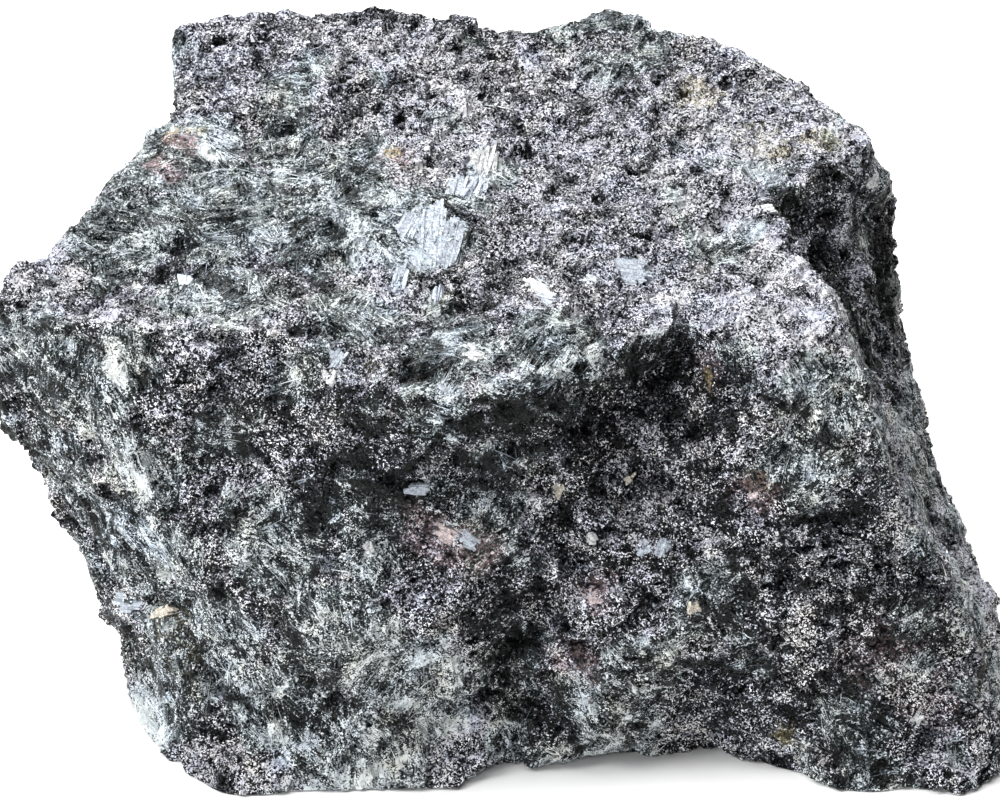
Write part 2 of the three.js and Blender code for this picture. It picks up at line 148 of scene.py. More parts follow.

# Marks: one or more stops, each across and up in the front view, then the half width of the
# line through them in mm and the amount. Here it is how much lighter (or darker) the rock is
# painted: partly its own tone, partly painted light and shade.
TONES_AND_PAINTED_LIGHT = {
    # Broad areas, partly the rock's own tone and partly painted light and shade: painted shade
    # darkens the hollow, the gully, the flank and parts of the front
    "broad areas": [
        ((24, 13), 10, 0.15), ((28, 26), 12, 0.09), ((-15, -26), 10, 0.06), ((-18, -35), 8, 0.1),
        ((-44, -4), 10, 0.03), ((-35.5, -32), 4, 0.65), ((2, -6), 8, -0.4),
        ((14, 1), (22, 2), 6, -0.25), ((18, 5.5), 4, -0.2), ((2, -20), (2, -29), 5, -0.37),
        ((28.6, 19.2), (31, 15.6), (34, 10.4), (36.6, 5), (39, 0.5), 1.9, -0.62),
        ((33, 21), (37, 20), (37.6, 14), (39.4, 6), 2.8, -0.58), ((-28, 34), (-14, 34), 6, 0.09),
        ((-38, 15), (-20, 15), 8, -0.14), ((5, 15), 8, -0.07), ((-4, 6), (4, 7), 4, -0.07),
        ((-33, 0), (-18, -1), 7, -0.15), ((-26, -13), (-14, -13), 5.5, -0.08),
        ((28, -12), (36, -28), 8, -0.12), ((39, -3), (46, -18), 4, 0.16), ((-31, -26), 4, -0.18),
    ],
    # A painted highlight along the ridge, on its pale fibres, and a lighter band down the front's
    # lower left
    "ridge and gully": [
        ((-39.9, 9), (-39, 7), (-38.4, 4.5), (-37.6, 2.4), 1.4, 0.65),
        ((-38.3, 1.5), (-37.3, -3), (-36.4, -7), 1.6, 0.38),
        ((-36.4, -7), (-35.4, -12), (-33, -17), 2, 0.35),
        ((-32, -17), (-29, -24), (-26, -31), 2.2, 0.3),
        ((-10, -25), (-6, -28), (-5, -34), (-7, -38), 3.2, 0.3),
    ],
    "feet and right edge": [
        ((-25, -39), (-14, -39), 2, 0.25), ((9, -33), (20, -34.5), 2, 0.15), ((42, -31), 1.8, 0.2),
        ((46, -13), (49, -20), (50, -28), 2, 0.2),
    ],
    # Painted highlights along the edges of the top
    "edges of the top": [
        ((26, 17), (29.5, 11), (32.5, 6), 1.8, 0.15), ((16, 9.5), (23, 9), (30, 8), 2, 0.25),
        ((18.5, 2.5), (20.5, 5), 1.4, 0.2), ((30, 26), (36, 26), 2.2, 0.2),
        ((-4, 32), (-3, 29), 2.4, 0.22), ((8, 33), (10, 31.5), 1.6, 0.15),
    ],
    "pale on the lower top": [
        ((-39, 14.5), (-36, 16), 1.6, 0.15), ((-23.5, 22), 1.5, 0.2),
        ((-29, 25), (-22.5, 23), (-17.5, 20.5), (-14.2, 17.5), 0.9, 0.25),
        ((-14, 16), (-13.5, 14), 1.8, 0.2), ((-28, 7.6), 1.8, 0.25), ((-34, 7), 1.6, 0.2),
    ],
    # A painted highlight along the lip, and painted shadow in the crack under the ledge
    "lip and cracks": [
        ((-9.8, 1.1), (-6, 0.6), (-2, 1.5), (6, 3.6), (10, 4.6), (17, 7.6), 0.7, 0.4),
        (
            (-7, -5), (-3.7, -2), (-1.3, -1.3), (1, -1.3), (3, -1.8), (6, -2.4), (8, -0.4),
            (8.3, 1.4), 0.8, -0.6,
        ),
        ((10, -2.8), (14, -1), (15.5, 1.5), (18, 5), 0.8, -0.45),
    ],
    "pale on the front": [
        ((-14, 1.5), 1.2, 0.2), ((3, -10), (2.5, -13), 1.4, 0.2), ((-13, -14.5), 1.3, 0.2),
        ((19, -13), 1.2, 0.15), ((25, -22), 1.5, 0.15),
    ],
    # The dark marks here and in the next groups are mostly painted shade in pits, under the brow
    # and the ledge and on the flank; a few are dark patches of the rock
    "dark on the lower top": [
        ((-31.8, 15.5), 1.7, -0.5), ((-38, 12.5), (-34, 12), 1.2, -0.3), ((-17, 16.7), 1.3, -0.3),
        ((-15, 20.6), 1, -0.25),
    ],
    "dark on the top": [
        ((-21.7, 27), 1.2, -0.4), ((-10.5, 31), 1.2, -0.25),
        ((-24, 37), (-23.3, 33.5), 1.4, -0.25), ((-17, 38.6), (-12, 38.6), 1.2, -0.3),
        ((2.2, 24.5), 1.2, -0.35), ((15.5, 29.5), 1.4, -0.2), ((1, 18.5), 1.6, -0.15),
        ((7.5, 12.5), 1.2, -0.2), ((-1, 13), 1.6, -0.2),
    ],
    # Painted shadow under the brow and the ledge, and painted shade in their pits
    "round the ledge": [
        ((-20, 7), (-16, 6.6), 1.5, -0.4), ((-6.5, 7.8), (-2, 9.5), 1.5, -0.4),
        ((-9, 2.5), (-4, 3), 1.4, -0.2), ((-8, -0.4), (0, 0.4), (6, 0.4), 1.2, -0.2),
        ((-15, -2), (-9, -3.5), (-2, -3), (5, -2), (9, -2.5), 1.4, -0.35),
    ],
    "dark on the left": [
        ((-13, -5), (-11, -9), 2, -0.35), ((-19.5, -10.5), (-18, -13.5), 1.6, -0.35),
        ((-35, -5), (-33.5, -9), (-32, -12), 1.4, -0.4), ((-41, -11), 1.6, -0.3),
        ((-49, -3), (-46, -5), 2, -0.35), ((-19, -29), (-16, -30.5), 1.4, -0.45),
        ((-21, -31.5), 1.2, -0.3),
    ],
    "dark on the right": [
        ((24, -16), (28.5, -16), 1.6, -0.25), ((28.5, -20), 1.2, -0.2),
        ((5.6, -12), (7.2, -16), 1, -0.25), ((15, -8.5), 1.3, -0.3), ((24, 2.5), 1.6, -0.3),
        ((17, -3), (21, -2.5), 1.3, -0.25), ((32.5, 3), 1.2, -0.2),
        ((37.5, 19), (38, 12), (38.8, 8), 1.8, -0.3), ((36, 9), 1.6, -0.25),
        ((38, -31), (33, -35), 1.6, -0.25),
    ],
    # Lighter and darker patches, here and in the groups below: partly painted light and shade,
    # partly the rock's own tone
    "broad patches": [
        ((-43.5, 15.5), 2.8, 0.15), ((-45, 11), 2.8, 0.15), ((-34, 7), 1.8, 0.15),
        ((-33, -3.5), 3, 0.2), ((-27, -5), 3, 0.2), ((-22, -7), 3, 0.2), ((-12.5, -7), 2.2, 0.12),
        ((22, -31), 3, 0.15), ((31, -33), 3, 0.18), ((41, -33), 3, 0.15), ((27, -22), 2.4, 0.12),
        ((17.5, -12.5), 2.2, 0.15), ((17.5, -18), 2.2, 0.15), ((27.5, -4.5), 2.6, 0.15),
        ((3, -17.5), 2, 0.2), ((-37.5, -22.5), 2.4, 0.18), ((-37.5, -13), 2.4, 0.15),
        ((-2.5, -37.5), 2, 0.18), ((-22.5, -38), 2, 0.18), ((12.5, 22.5), 2, 0.12),
        ((22.5, 17), 2.4, 0.12), ((3, 34), 2.4, 0.12), ((17.5, 2.5), 1.6, 0.12),
        ((-12.5, 7.5), 2.2, -0.2), ((-2.5, 2.5), 1.8, -0.15), ((32.5, 17), 2.4, -0.25),
        ((37.5, 12), 2.2, -0.25), ((-32.5, 12.5), 2.2, -0.15), ((2.5, 27.5), 2.2, -0.15),
        ((20, 22.5), 2.6, -0.15), ((-22.5, 37.5), 2, -0.15), ((-22.5, 27), 2.2, -0.15),
        ((37.5, -2.5), 2.2, -0.15), ((-2.5, -3), 2, -0.12), ((-2.5, -13), 2, -0.15),
        ((-20, -17.5), 2.4, -0.15), ((-13, -17.5), 2.4, -0.15), ((3, -27.5), 2, -0.12),
        ((33, -17.5), 2.2, -0.15), ((-8, -22.5), 2, -0.12),
    ],
    "cap patches": [
        ((-15.5, 30), 1.3, 0.3), ((-19.5, 33.7), 1, 0.2), ((-13.5, 38), 1.2, 0.2),
        ((-22, 25), 1, -0.25), ((-20.8, 22.5), 1, -0.25), ((-19, 28.5), 1.3, -0.2),
        ((-12, 33.2), 0.9, -0.2), ((-32.3, 36), 1.2, -0.2), ((-28.5, 27), 1.2, -0.15),
        ((-29.5, 30), 2, 0.12),
    ],
    "lower top patches": [
        ((-43, 12.4), 1.5, 0.25), ((-40.7, 12), 1.5, 0.3), ((-26.5, 18.5), 1.2, 0.2),
        ((-35, 15), 1.3, -0.25), ((-34.5, 12.6), 1.4, -0.25), ((-35.5, 20.5), 1.3, -0.25),
        ((-25, 13.5), 1.1, -0.2), ((-22.7, 12.6), 1.2, -0.25), ((-14.5, 10.5), 1.4, -0.25),
        ((-11.5, 10), 1.3, -0.25), ((-15.5, 8), 1.3, -0.2), ((-15.5, 16.5), 1.1, -0.2),
        ((-23.5, 7.2), 1.2, -0.35), ((-33.5, 13.5), 2, -0.2), ((-31, 22), 1.6, -0.25),
        ((-26.5, 9.5), 1, 0.2), ((-21, 16), 1.4, 0.15), ((-28.5, 19.5), 1.2, -0.15),
    ],
    "top patches": [
        ((-3.5, 19.5), 1.2, 0.25), ((11, 22.5), 1.6, 0.2), ((2.5, 7), 1.2, 0.35),
        ((7.5, 9.5), 1, 0.2), ((7.5, 36.5), 1.2, 0.3), ((27, 30.5), 2, 0.12),
        ((-10, 22.5), 1, -0.25), ((-8, 22), 1, -0.2), ((2, 19.5), 1, -0.3), ((2, 16.5), 1.1, -0.3),
        ((6, 16), 1.3, -0.25), ((8.6, 16.5), 1.2, -0.2), ((-0.3, 10), 1.2, -0.35),
        ((3.5, 12.5), 1, -0.15), ((7.5, 24.5), 1.2, -0.3), ((4.5, 26.5), 1, -0.15),
        ((-5, 7), 1, -0.3), ((0, 11), 2.2, -0.25), ((-2.5, 19.5), 1.2, 0.2), ((10, 21), 1.6, 0.15),
        ((6, 8.5), 1.8, 0.25), ((3, 18), 2, -0.15), ((15, 24.5), 2.6, -0.1),
        ((0.5, 30), 2.4, -0.12), ((14, 7), 1.4, 0.2), ((6, 37), 1.4, 0.2),
    ],
    "shoulder patches": [
        ((19.8, 19.2), 1.6, 0.35), ((22.4, 16.6), 1.8, 0.4), ((29.5, 5), 1.7, 0.35),
        ((28.8, 2), 1.6, 0.35), ((28.4, -1), 1.4, 0.3), ((20, 23.8), 1.2, -0.2),
        ((23.5, 23.8), 1.2, -0.2), ((28, 18), 1.5, -0.3), ((32, 13), 1.4, -0.3),
        ((34, 10), 1.5, -0.35), ((27.5, 13), 1, -0.2), ((35.5, 17), 2, -0.15),
        ((39.4, 14), 1.2, -0.3), ((34.5, -1), 1.3, -0.3), ((33, -3), 1.3, -0.25),
        ((35, 2), 1, -0.2), ((38.4, 21), 1.6, -0.3), ((24, 18.5), 1.6, 0.15),
        ((20.5, 16), 1.4, 0.15), ((20, 19.5), 1.2, -0.3),
    ],
    "lip patches": [
        ((-15, 2), 1.1, 0.2), ((-10.5, 2.5), 1.2, 0.2), ((3, 1.3), 0.9, 0.2),
        ((18, 1.5), 1.2, 0.3), ((-20, 4.5), 1.8, -0.4), ((-18.3, 1.8), 1.8, -0.4),
        ((-5, 3.5), 1.1, -0.35), ((-2, 3.4), 0.9, -0.25), ((-12, 4.8), 1.4, 0.25),
        ((-12.6, 2), 1.5, 0.3), ((-4, 1.8), 1.2, -0.2), ((17.5, 3.4), 1.8, 0.2),
    ],
    "left face patches": [
        ((-38, -24), 1, 0.3), ((-49.5, 5.5), 1.4, -0.25), ((-47, 5), 1.3, -0.25),
        ((-42.5, -1), 1, -0.2), ((-47.5, -3), 1.2, -0.15), ((-40, 3), 1, -0.15),
        ((-42, -8.7), 1.2, -0.15), ((-39.5, -12), 1.2, -0.15),
    ],
    "ridge patches": [
        ((-36.5, -14), 1.2, 0.22), ((-34.8, -16.8), 1.3, 0.22), ((-33, -19.4), 1.3, 0.22),
        ((-31.6, -22.4), 1.3, 0.22), ((-30.4, -26), 1.4, 0.25),
    ],
    "front, upper left patches": [
        ((-29, -1.5), 1.8, 0.25), ((-33, -4.5), 1.2, 0.2), ((-24.5, -4), 1.3, 0.2),
        ((-28.5, -9.5), 1.4, 0.3), ((-29.4, -12), 1.3, 0.3), ((-19, -8.5), 1.5, 0.15),
        ((-8.5, -2.5), 1.4, 0.15), ((-33.5, 2), 2, -0.3), ((-31, 3.6), 1.8, -0.25),
        ((-31, 1), 1.5, -0.2), ((-25.5, 3), 1.2, -0.25), ((-17.5, -3), 1.3, -0.35),
        ((-22.5, -6.8), 1, -0.2), ((-32, -9), 1, -0.2), ((-25, -13), 1.5, -0.35),
        ((-30.5, -4), 1.8, 0.2), ((-31, -11), 1.4, 0.15), ((-28.5, -14.5), 1.6, -0.25),
        ((-15, -11.5), 1.4, -0.25), ((-13, -13), 1.2, 0.2),
    ],
    "front, low left patches": [
        ((-10, -29.5), 2.2, 0.35), ((-17, -21.5), 1.6, 0.15), ((-16.5, -24.5), 1.6, 0.15),
        ((-21, -28.5), 1, 0.2), ((-16, -36.5), 1.4, 0.25), ((-12, -38.2), 1.4, 0.25),
        ((-23.5, -36.5), 1.2, 0.2), ((-26, -19), 2, -0.2), ((-22, -18), 2, -0.2),
        ((-15.5, -17), 1.8, -0.2), ((-9.6, -21), 1.3, -0.35), ((-6.5, -21), 1.2, -0.3),
        ((-19, -21.5), 1, -0.2), ((-13, -25.5), 1.2, -0.2), ((-26.5, -35.5), 1.3, -0.2),
        ((-13.5, -33.2), 0.9, -0.2), ((-4.5, -36.5), 1, -0.2), ((-10, -31), 1.8, 0.2),
        ((-10, -17), 2.4, -0.2), ((-19.5, -21.5), 1.4, -0.2), ((-15, -36), 2, 0.15),
        ((-23, -30), 1.4, -0.2), ((-18, -25), 1.6, 0.15), ((-31, -27.6), 1.4, 0.15),
    ],
    "gully patches": [
        ((-2.5, -13), 1, 0.2), ((-1, -17.5), 2.2, 0.1), ((0.5, -36), 1, 0.2),
        ((5.6, -33), 1.2, 0.2), ((-4, -3.5), 1.2, -0.2), ((4.5, -6), 1.2, -0.15),
        ((-2.5, -10), 1, -0.2), ((7.5, -13), 1.5, -0.3), ((3, -27), 1.5, -0.3),
        ((8.5, -29), 1, -0.25), ((0, -33), 1.2, -0.2), ((8, -12), 1.6, -0.2),
        ((-3, -4), 1.6, -0.2), ((3, -25), 1.6, -0.2), ((2, -16.5), 1.8, 0.15),
        ((-1.5, -12), 1.4, 0.15), ((12, -32), 1.8, 0.15), ((14, -29), 1.8, 0.15),
    ],
    "front, right patches": [
        ((14.5, -28), 1.8, 0.3), ((13.2, -21.3), 1.3, 0.2), ((15, -18.6), 1.4, 0.25),
        ((15.8, -15), 1.2, 0.2), ((33, -31.4), 1.8, 0.3), ((44, -12.4), 1.4, 0.25),
        ((46, -15.4), 1.5, 0.25), ((43, -32), 1.2, 0.2), ((20.5, -7.5), 1.5, -0.35),
        ((20, -16.5), 1.5, -0.3), ((24, -13.5), 1.3, -0.25), ((17.5, -23.5), 1.2, -0.2),
        ((21, -23.5), 1.2, -0.2), ((29.4, -8.4), 1.7, -0.35), ((28.6, -12), 1.9, -0.4),
        ((30, -16.5), 1.5, -0.3), ((34, -20), 2.1, -0.4), ((33, -24.4), 2.1, -0.4),
        ((38, -26), 1.4, -0.3), ((39.8, -28.6), 1.4, -0.3), ((39.5, -13), 1.5, -0.2),
        ((24.5, -0.5), 1.3, -0.25), ((32.5, -38.5), 1.3, -0.3), ((43.5, -36.5), 1.3, -0.3),
        ((32.5, -25), 1.6, -0.25), ((29, -10.5), 1.6, -0.25), ((15, -20), 1.6, 0.2),
        ((28.5, -0.5), 1.4, 0.2), ((32, -35), 1.4, 0.2), ((43, -28), 1.4, 0.15),
        ((38, -34.5), 1.2, -0.2),
    ],
}

# Marks of rosy feldspar and of yellow-brown rust, and how strong each is
ROSY_STAINS = {
    "top": [
        ((-31.6, 26.2), 1.8, 0.9), ((-34.4, 24), (-33, 22.6), 1.4, 0.8), ((-10.5, 24.2), 1.6, 0.7),
    ],
    "front": [
        ((-8, -13), (-2, -15), 2.4, 0.7), ((6.2, -25.8), (8.4, -26.8), 1.8, 0.65),
        ((21, 3), 2, 0.6), ((25.4, -9.4), 2.4, 0.7), ((9.4, -19.6), 2.4, 0.65),
    ],
    "right": [((44, -30), 3, 0.5), ((38, -26), 4, 0.5)],
}
RUSTY_STAINS = {
    "top": [
        ((-32.5, 27), (-30, 26.8), 1, 0.8), ((-10.8, 24.8), 0.9, 0.9),
        ((19, 30.8), (21, 30.4), 2.2, 0.7), ((26.5, 26.3), 2.6, 0.55), ((28.4, 24.9), 1.2, 0.6),
        ((32.2, 26), 2.2, 0.7),
    ],
    "front": [
        ((21.2, 2.2), 1.2, 0.9), ((25.8, -7.6), 1.6, 0.4), ((28.3, -33.5), 1.6, 0.9),
        ((-32, -24), 3.6, 0.4), ((-12.4, 3.4), 1.8, 0.45),
    ],
}

# Marks that are holes and cracks, with the depth in mm. The swelling's is less than 0.
PITS = {
    "swelling of the flank": [((38, 21.5), (38.8, 17), (39, 12.5), 2.6, -0.6)],
    "left": [((-28.8, -28.3), 1.2, 1.4), ((-34.4, -20.3), 0.9, 1.6)],
    "front and right": [
        ((14.4, -7.4), (16, -8.4), 1.1, 1.6), ((25.6, -25.3), 0.9, 1), ((42.6, -17.6), 1.2, 1.2),
        ((49, -25.8), 1.2, 1.2),
    ],
    "brow and lip": [
        ((-29.6, 6.1), (-26.5, 6), 0.7, 1), ((-20, 7), (-16, 6.6), 1.2, 1),
        ((-8.6, 2.6), (-6, 2.8), 1.2, 1), ((-6, 8), (-2.5, 9.2), 1.2, 1),
    ],
    "alcove and gully": [
        ((22.8, 0.6), 1.1, 1.1), ((20, -3), 0.9, 1.1), ((3.4, -29), 1.4, 1.2),
        ((7.2, -16), 1.2, 1),
    ],
    "front": [((28.4, -17.6), 1.3, 1), ((-18.4, -28.8), (-16.4, -30), 1, 1.2)],
    "lower top": [
        ((-31.8, 15.5), 1.3, 1.3), ((-37.6, 12.6), (-34.4, 12), 0.8, 0.8), ((-17, 16.7), 1, 0.9),
    ],
    "top": [((-21.7, 27), 1, 1.1), ((-24, 36), (-23.3, 34), 1, 0.9), ((2.2, 24.5), 1, 1)],
    "ledge and ridge": [
        (
            (-7.5, -6.5), (-5, -3.5), (-2.5, -1.7), (0.5, -1.2), (3, -1.5), (6, -2.5), (10, -2.8),
            (14, -1), (15.5, 1.5), (18, 5), 0.9, 0.9,
        ),
        ((-34.6, -6), (-32.8, -10.6), 1, 0.9),
    ],
}

# Bundles of pale laths laid on the rock: across, up, length and breadth in mm as seen from
# the front, the way the length runs in degrees, and the finish.
FLAKES = {
    "top, middle": [
        (-7.3, 16.2, 8.2, 3.2, 86, "bluish"), (-4.9, 15.8, 5.4, 1.9, 76, "bluish"),
        (-9.4, 17, 3.6, 1.7, 62, "bluish"), (-10, 12, 3.2, 1.3, 70, "bluish"),
        (-6.3, 10.2, 2.4, 0.7, 85, "bluish"), (-4.2, 21.2, 3, 2.2, 78, "bluish"),
        (-1.6, 24, 3, 2.6, 84, "white"), (-2.2, 21.4, 2.2, 1.8, 70, "bluish"),
    ],
    "top, right": [
        (3.5, 11.2, 2.9, 1.5, -40, "white"), (4.8, 10.2, 2.6, 1.1, -20, "bluish"),
        (13.2, 12.8, 3.8, 2.2, -12, "bluish"), (26.4, 19, 2.4, 0.7, 6, "white"),
        (37.3, 21.8, 1.3, 1, 80, "white"),
    ],
    "brow and lip": [
        (-16.2, 4.2, 2, 1.3, 70, "bluish"), (-16.7, 2.2, 1.9, 1.3, 60, "white"),
        (-5.6, 0.3, 1.8, 0.9, 30, "white"), (-2.6, 4.7, 1.8, 1.3, -30, "white"),
    ],
    "front, left": [
        (-13.1, -14.7, 1.6, 1.1, 75, "white"), (-5.4, -13.4, 3, 1.3, -35, "rosy"),
        (-3.2, -14, 2.4, 1.2, -40, "bluish"), (-8.2, -9, 3, 0.8, 2, "bluish"),
        (-37.2, -20.2, 2.8, 1.8, -10, "bluish"), (-33.8, -21.1, 2.4, 0.8, 22, "warm"),
        (13, -7.9, 1.2, 0.7, 15, "warm"), (8.9, -13.8, 1.8, 0.3, 100, "white"),
    ],
    "front, right": [
        (14.3, -14.8, 1.8, 1.3, 40, "bluish"), (16.2, -14.6, 2.2, 1.1, 68, "bluish"),
        (9.4, -19.6, 1.4, 1.2, 10, "rosy"), (25.2, -9.5, 1.1, 1, 45, "rosy"),
        (19.3, -20.7, 1.6, 1, 70, "warm"), (5.8, -9, 1.2, 0.9, 80, "warm"),
    ],
    "top, left": [(-31.5, 11.8, 1.7, 1.1, 80, "bluish"), (-36.4, 11, 1.4, 0.8, 60, "white")],
    "low right": [(41.8, -31.8, 1.6, 0.8, 40, "white"), (45.4, -22.6, 1.2, 0.8, 30, "white")],
}
FLAKE_COLOURS = {
    "bluish": (205, 213, 224),
    "white": (236, 236, 236),
    "rosy": (226, 208, 208),
    "warm": (230, 220, 204),
}
# What they do to the ground under and round them
FLAKE_SHADES = {"bluish": 0.3, "white": 0.35, "rosy": 0.3, "warm": 0.3}
FLAKE_WARMTHS = {"bluish": -0.9, "white": 0.0, "rosy": 0.3, "warm": 0.9}
FLAKE_SEED = 41
LATH_WIDTH = 0.3  # mm
LATH_DEPTH = 0.9
LATH_LIFT = 0.3

# How a mark or an area fades out at its edge, in shares of its radius
MARK_FADE = 1.5  # where nothing is left of it
MARK_UNEVEN = 0.6
MARK_REACH = 2.2  # the furthest that an uneven edge comes
MARK_STEP = 1.2  # mm from one spot to the next of a line
AREA_FADE = 1.35
AREA_SOFTNESS = 1.6
AREA_UNEVEN = 0.45
RAY_START = 100  # mm in front of the view's middle


def rows(groups):
    """All rows of a table that holds them in named groups."""
    return [row for group in groups.values() for row in group]


# ---- Meshes as arrays: points (n, 3) in metres and triangles (m, 3) ----


def welded(obj):
    """An object's points and triangles, with corners at one place made one."""
    mesh = obj.data
    mesh.calc_loop_triangles()
    points = np.empty(len(mesh.vertices) * 3)
    mesh.vertices.foreach_get("co", points)
    triangles = np.empty(len(mesh.loop_triangles) * 3, int)
    mesh.loop_triangles.foreach_get("vertices", triangles)
    keys = np.round(points.reshape(-1, 3) / (0.001 * MM)).astype(int)
    _, first, place = np.unique(keys, axis=0, return_index=True, return_inverse=True)
    return points.reshape(-1, 3)[first], place.ravel()[triangles].reshape(-1, 3)


def sides_of(triangles, count):
    """Each side once, as a pair of points, and for each triangle its three sides."""
    pairs = np.sort(triangles[:, [[0, 1], [1, 2], [2, 0]]].reshape(-1, 2), axis=1)
    codes, which = np.unique(pairs[:, 0] * count + pairs[:, 1], return_inverse=True)
    return np.stack([codes // count, codes % count], axis=1), which.reshape(-1, 3)


def in_four(a, b, c, ab, bc, ca):
    """The corners of the four triangles made of one, a whole set of first ones and so on."""
    parts = [(a, ab, ca), (ab, b, bc), (ca, bc, c), (ab, bc, ca)]
    return np.concatenate([np.stack(part, axis=1) for part in parts])


def split_in_four(points, triangles):
    """Every triangle made into four by the middles of its sides."""
    sides, which = sides_of(triangles, len(points))
    middles = which + len(points)
    points = np.vstack([points, points[sides].mean(axis=1)])
    return points, in_four(*triangles.T, *middles.T)


def split_corners(values):
    """Values held at each corner of each triangle, for the triangles split in four."""
    a, b, c = values.transpose(1, 0, 2)
    return in_four(a, b, c, (a + b) / 2, (b + c) / 2, (c + a) / 2)


def triangle_normals(points, triangles):
    """The normal of each triangle, as long as twice its area."""
    a, b, c = points[triangles].transpose(1, 0, 2)
    return np.cross(b - a, c - a)


def unit(vectors):
    return vectors / np.maximum(np.linalg.norm(vectors, axis=-1, keepdims=True), 1e-12)


def gathered(places, values, count):
    """The sum of the values that go to each place."""
    return np.stack([np.bincount(places, column, count) for column in values.T], axis=1)


def point_normals(points, triangles):
    """The mean normal of the triangles round each point."""
    normals = np.repeat(triangle_normals(points, triangles), 3, axis=0)
    return unit(gathered(triangles.ravel(), normals, len(points)))


def smoothed(points, triangles, share, times):
    """Points drawn towards their neighbours and pushed back, which rounds without shrinking."""
    sides, _ = sides_of(triangles, len(points))
    ends = np.concatenate([sides, sides[:, ::-1]])
    count = np.bincount(ends[:, 0], minlength=len(points))[:, None]
    for step in [share, -share * 0.9] * times:
        mean = gathered(ends[:, 0], points[ends[:, 1]], len(points)) / count
        points = points + step * (mean - points)
    return points


def new_object(name, data):
    """An object of this mesh, light or camera, in the scene."""
    obj = bpy.data.objects.new(name, data)
    bpy.context.scene.collection.objects.link(obj)
    return obj


def unfolded(points, triangles):
    """A flat map of a rough mesh: where each triangle's corners lie on a square."""
    mesh = bpy.data.meshes.new("unfolding")
    mesh.from_pydata(points.tolist(), [], triangles.tolist())
    obj = new_object("unfolding", mesh)
    bpy.context.view_layer.objects.active = obj
    obj.select_set(True)
    mesh.uv_layers.new(name="map")
    bpy.ops.object.mode_set(mode="EDIT")
    bpy.ops.mesh.select_all(action="SELECT")
    bpy.ops.uv.smart_project(angle_limit=1.15, island_margin=0.004, scale_to_bounds=True)
    bpy.ops.object.mode_set(mode="OBJECT")
    corners = np.empty(len(mesh.loops) * 2)
    mesh.uv_layers["map"].uv.foreach_get("vector", corners)
    bpy.data.objects.remove(obj)
    return corners.reshape(-1, 3, 2)


def cell_map(count, faces):
    """A flat map that gives each of many small like shapes one cell of a square grid."""
    side = math.ceil(math.sqrt(count))
    cells = np.stack(np.divmod(np.arange(count), side), axis=1) / side
    corner = np.array([[0.15, 0.15], [0.85, 0.15], [0.15, 0.85]]) / side
    return np.repeat(cells[:, None, :] + corner, faces, axis=0)


def made_object(name, points, triangles, material, flat_map):
    """A mesh object of these arrays with sharp facets, which rides on the stone's body."""
    used, triangles = np.unique(triangles, return_inverse=True)
    points, triangles = points[used], triangles.reshape(-1, 3)
    mesh = bpy.data.meshes.new(name)
    mesh.vertices.add(len(points))
    mesh.vertices.foreach_set("co", np.asarray(points, np.float32).ravel())
    mesh.loops.add(triangles.size)
    mesh.loops.foreach_set("vertex_index", np.asarray(triangles, np.int32).ravel())
    mesh.polygons.add(len(triangles))
    mesh.polygons.foreach_set("loop_start", np.arange(len(triangles), dtype=np.int32) * 3)
    mesh.update(calc_edges=True)
    mesh.polygons.foreach_set("use_smooth", np.zeros(len(triangles), bool))
    layer = mesh.uv_layers.new(name="OFBake")
    layer.uv.foreach_set("vector", np.asarray(flat_map, np.float32).ravel())
    mesh.materials.append(material)
    obj = new_object(name, mesh)
    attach(obj, BODY)
    return obj, used


def add_values(obj, domain, **values):
    """A number or a vector for each point or face of the mesh, for its material to read."""
    for name, value in values.items():
        kind, key = ("FLOAT", "value") if value.ndim == 1 else ("FLOAT_VECTOR", "vector")
        layer = obj.data.attributes.new(name, kind, domain)
        layer.data.foreach_set(key, np.asarray(value, np.float32).ravel())


# ---- Noise, the same on each run ----


def ease(x):
    """A soft step from 0 to 1."""
    x = np.clip(x, 0, 1)
    return x * x * (3 - 2 * x)


def lying(upward):
    """1 on faces that lie upward and 0 on steep ones, by their normal's upward part."""
    return ease(upward * 2 - 0.4)


def scattered(places, salt):
    """Three scattered numbers from 0 to 1 for each row of whole numbers."""
    x, y, z = places.T
    mixed = (x * 73856093) ^ (y * 19349663) ^ (z * 83492791) ^ (salt * 39916801)
    mixed = (mixed ^ (mixed >> 15)) * 2246822519
    mixed = (mixed ^ (mixed >> 13)) * 3266489917
    mixed ^= mixed >> 16
    return np.stack([mixed & 1023, mixed >> 10 & 1023, mixed >> 20 & 1023], axis=1) / 1023


def waves(places, salt):
    """Three smooth noises from -1 to 1, with swells about one unit broad."""
    whole = np.floor(places).astype(np.int64)
    share = ease(places - whole)
    total = 0
    for step in np.ndindex(2, 2, 2):
        weight = np.prod(np.where(step, share, 1 - share), axis=1)[:, None]
        total += weight * scattered(whole + step, salt)
    return total * 2 - 1


def wave(places, salt):
    """One smooth noise from -1 to 1."""
    return waves(places, salt)[:, 0]


def layered(noise, places, layers, salt):
    """The sum of a noise at several sizes, each with its height and a salt of its own."""
    parts = enumerate(layers.items(), salt)
    return sum(noise(places / size, own) * height for own, (size, height) in parts)


def shards(places, salt):
    """Space cut into uneven cells about one unit across: the middle of the cell that each
    place lies in, and three numbers from 0 to 1 that the cell has for its own."""
    whole = np.floor(places).astype(np.int64)
    least = np.full(len(places), np.inf)
    middles = np.empty_like(places)
    cells = np.empty_like(whole)
    for step in np.ndindex(3, 3, 3):
        cell = whole + step - 1
        middle = cell + scattered(cell, salt)
        gap = np.sum((places - middle) ** 2, axis=1)
        nearer = gap < least
        least[nearer] = gap[nearer]
        middles[nearer] = middle[nearer]
        cells[nearer] = cell[nearer]
    return middles, scattered(cells, salt + 50)


# ---- Marks placed in the front view ----


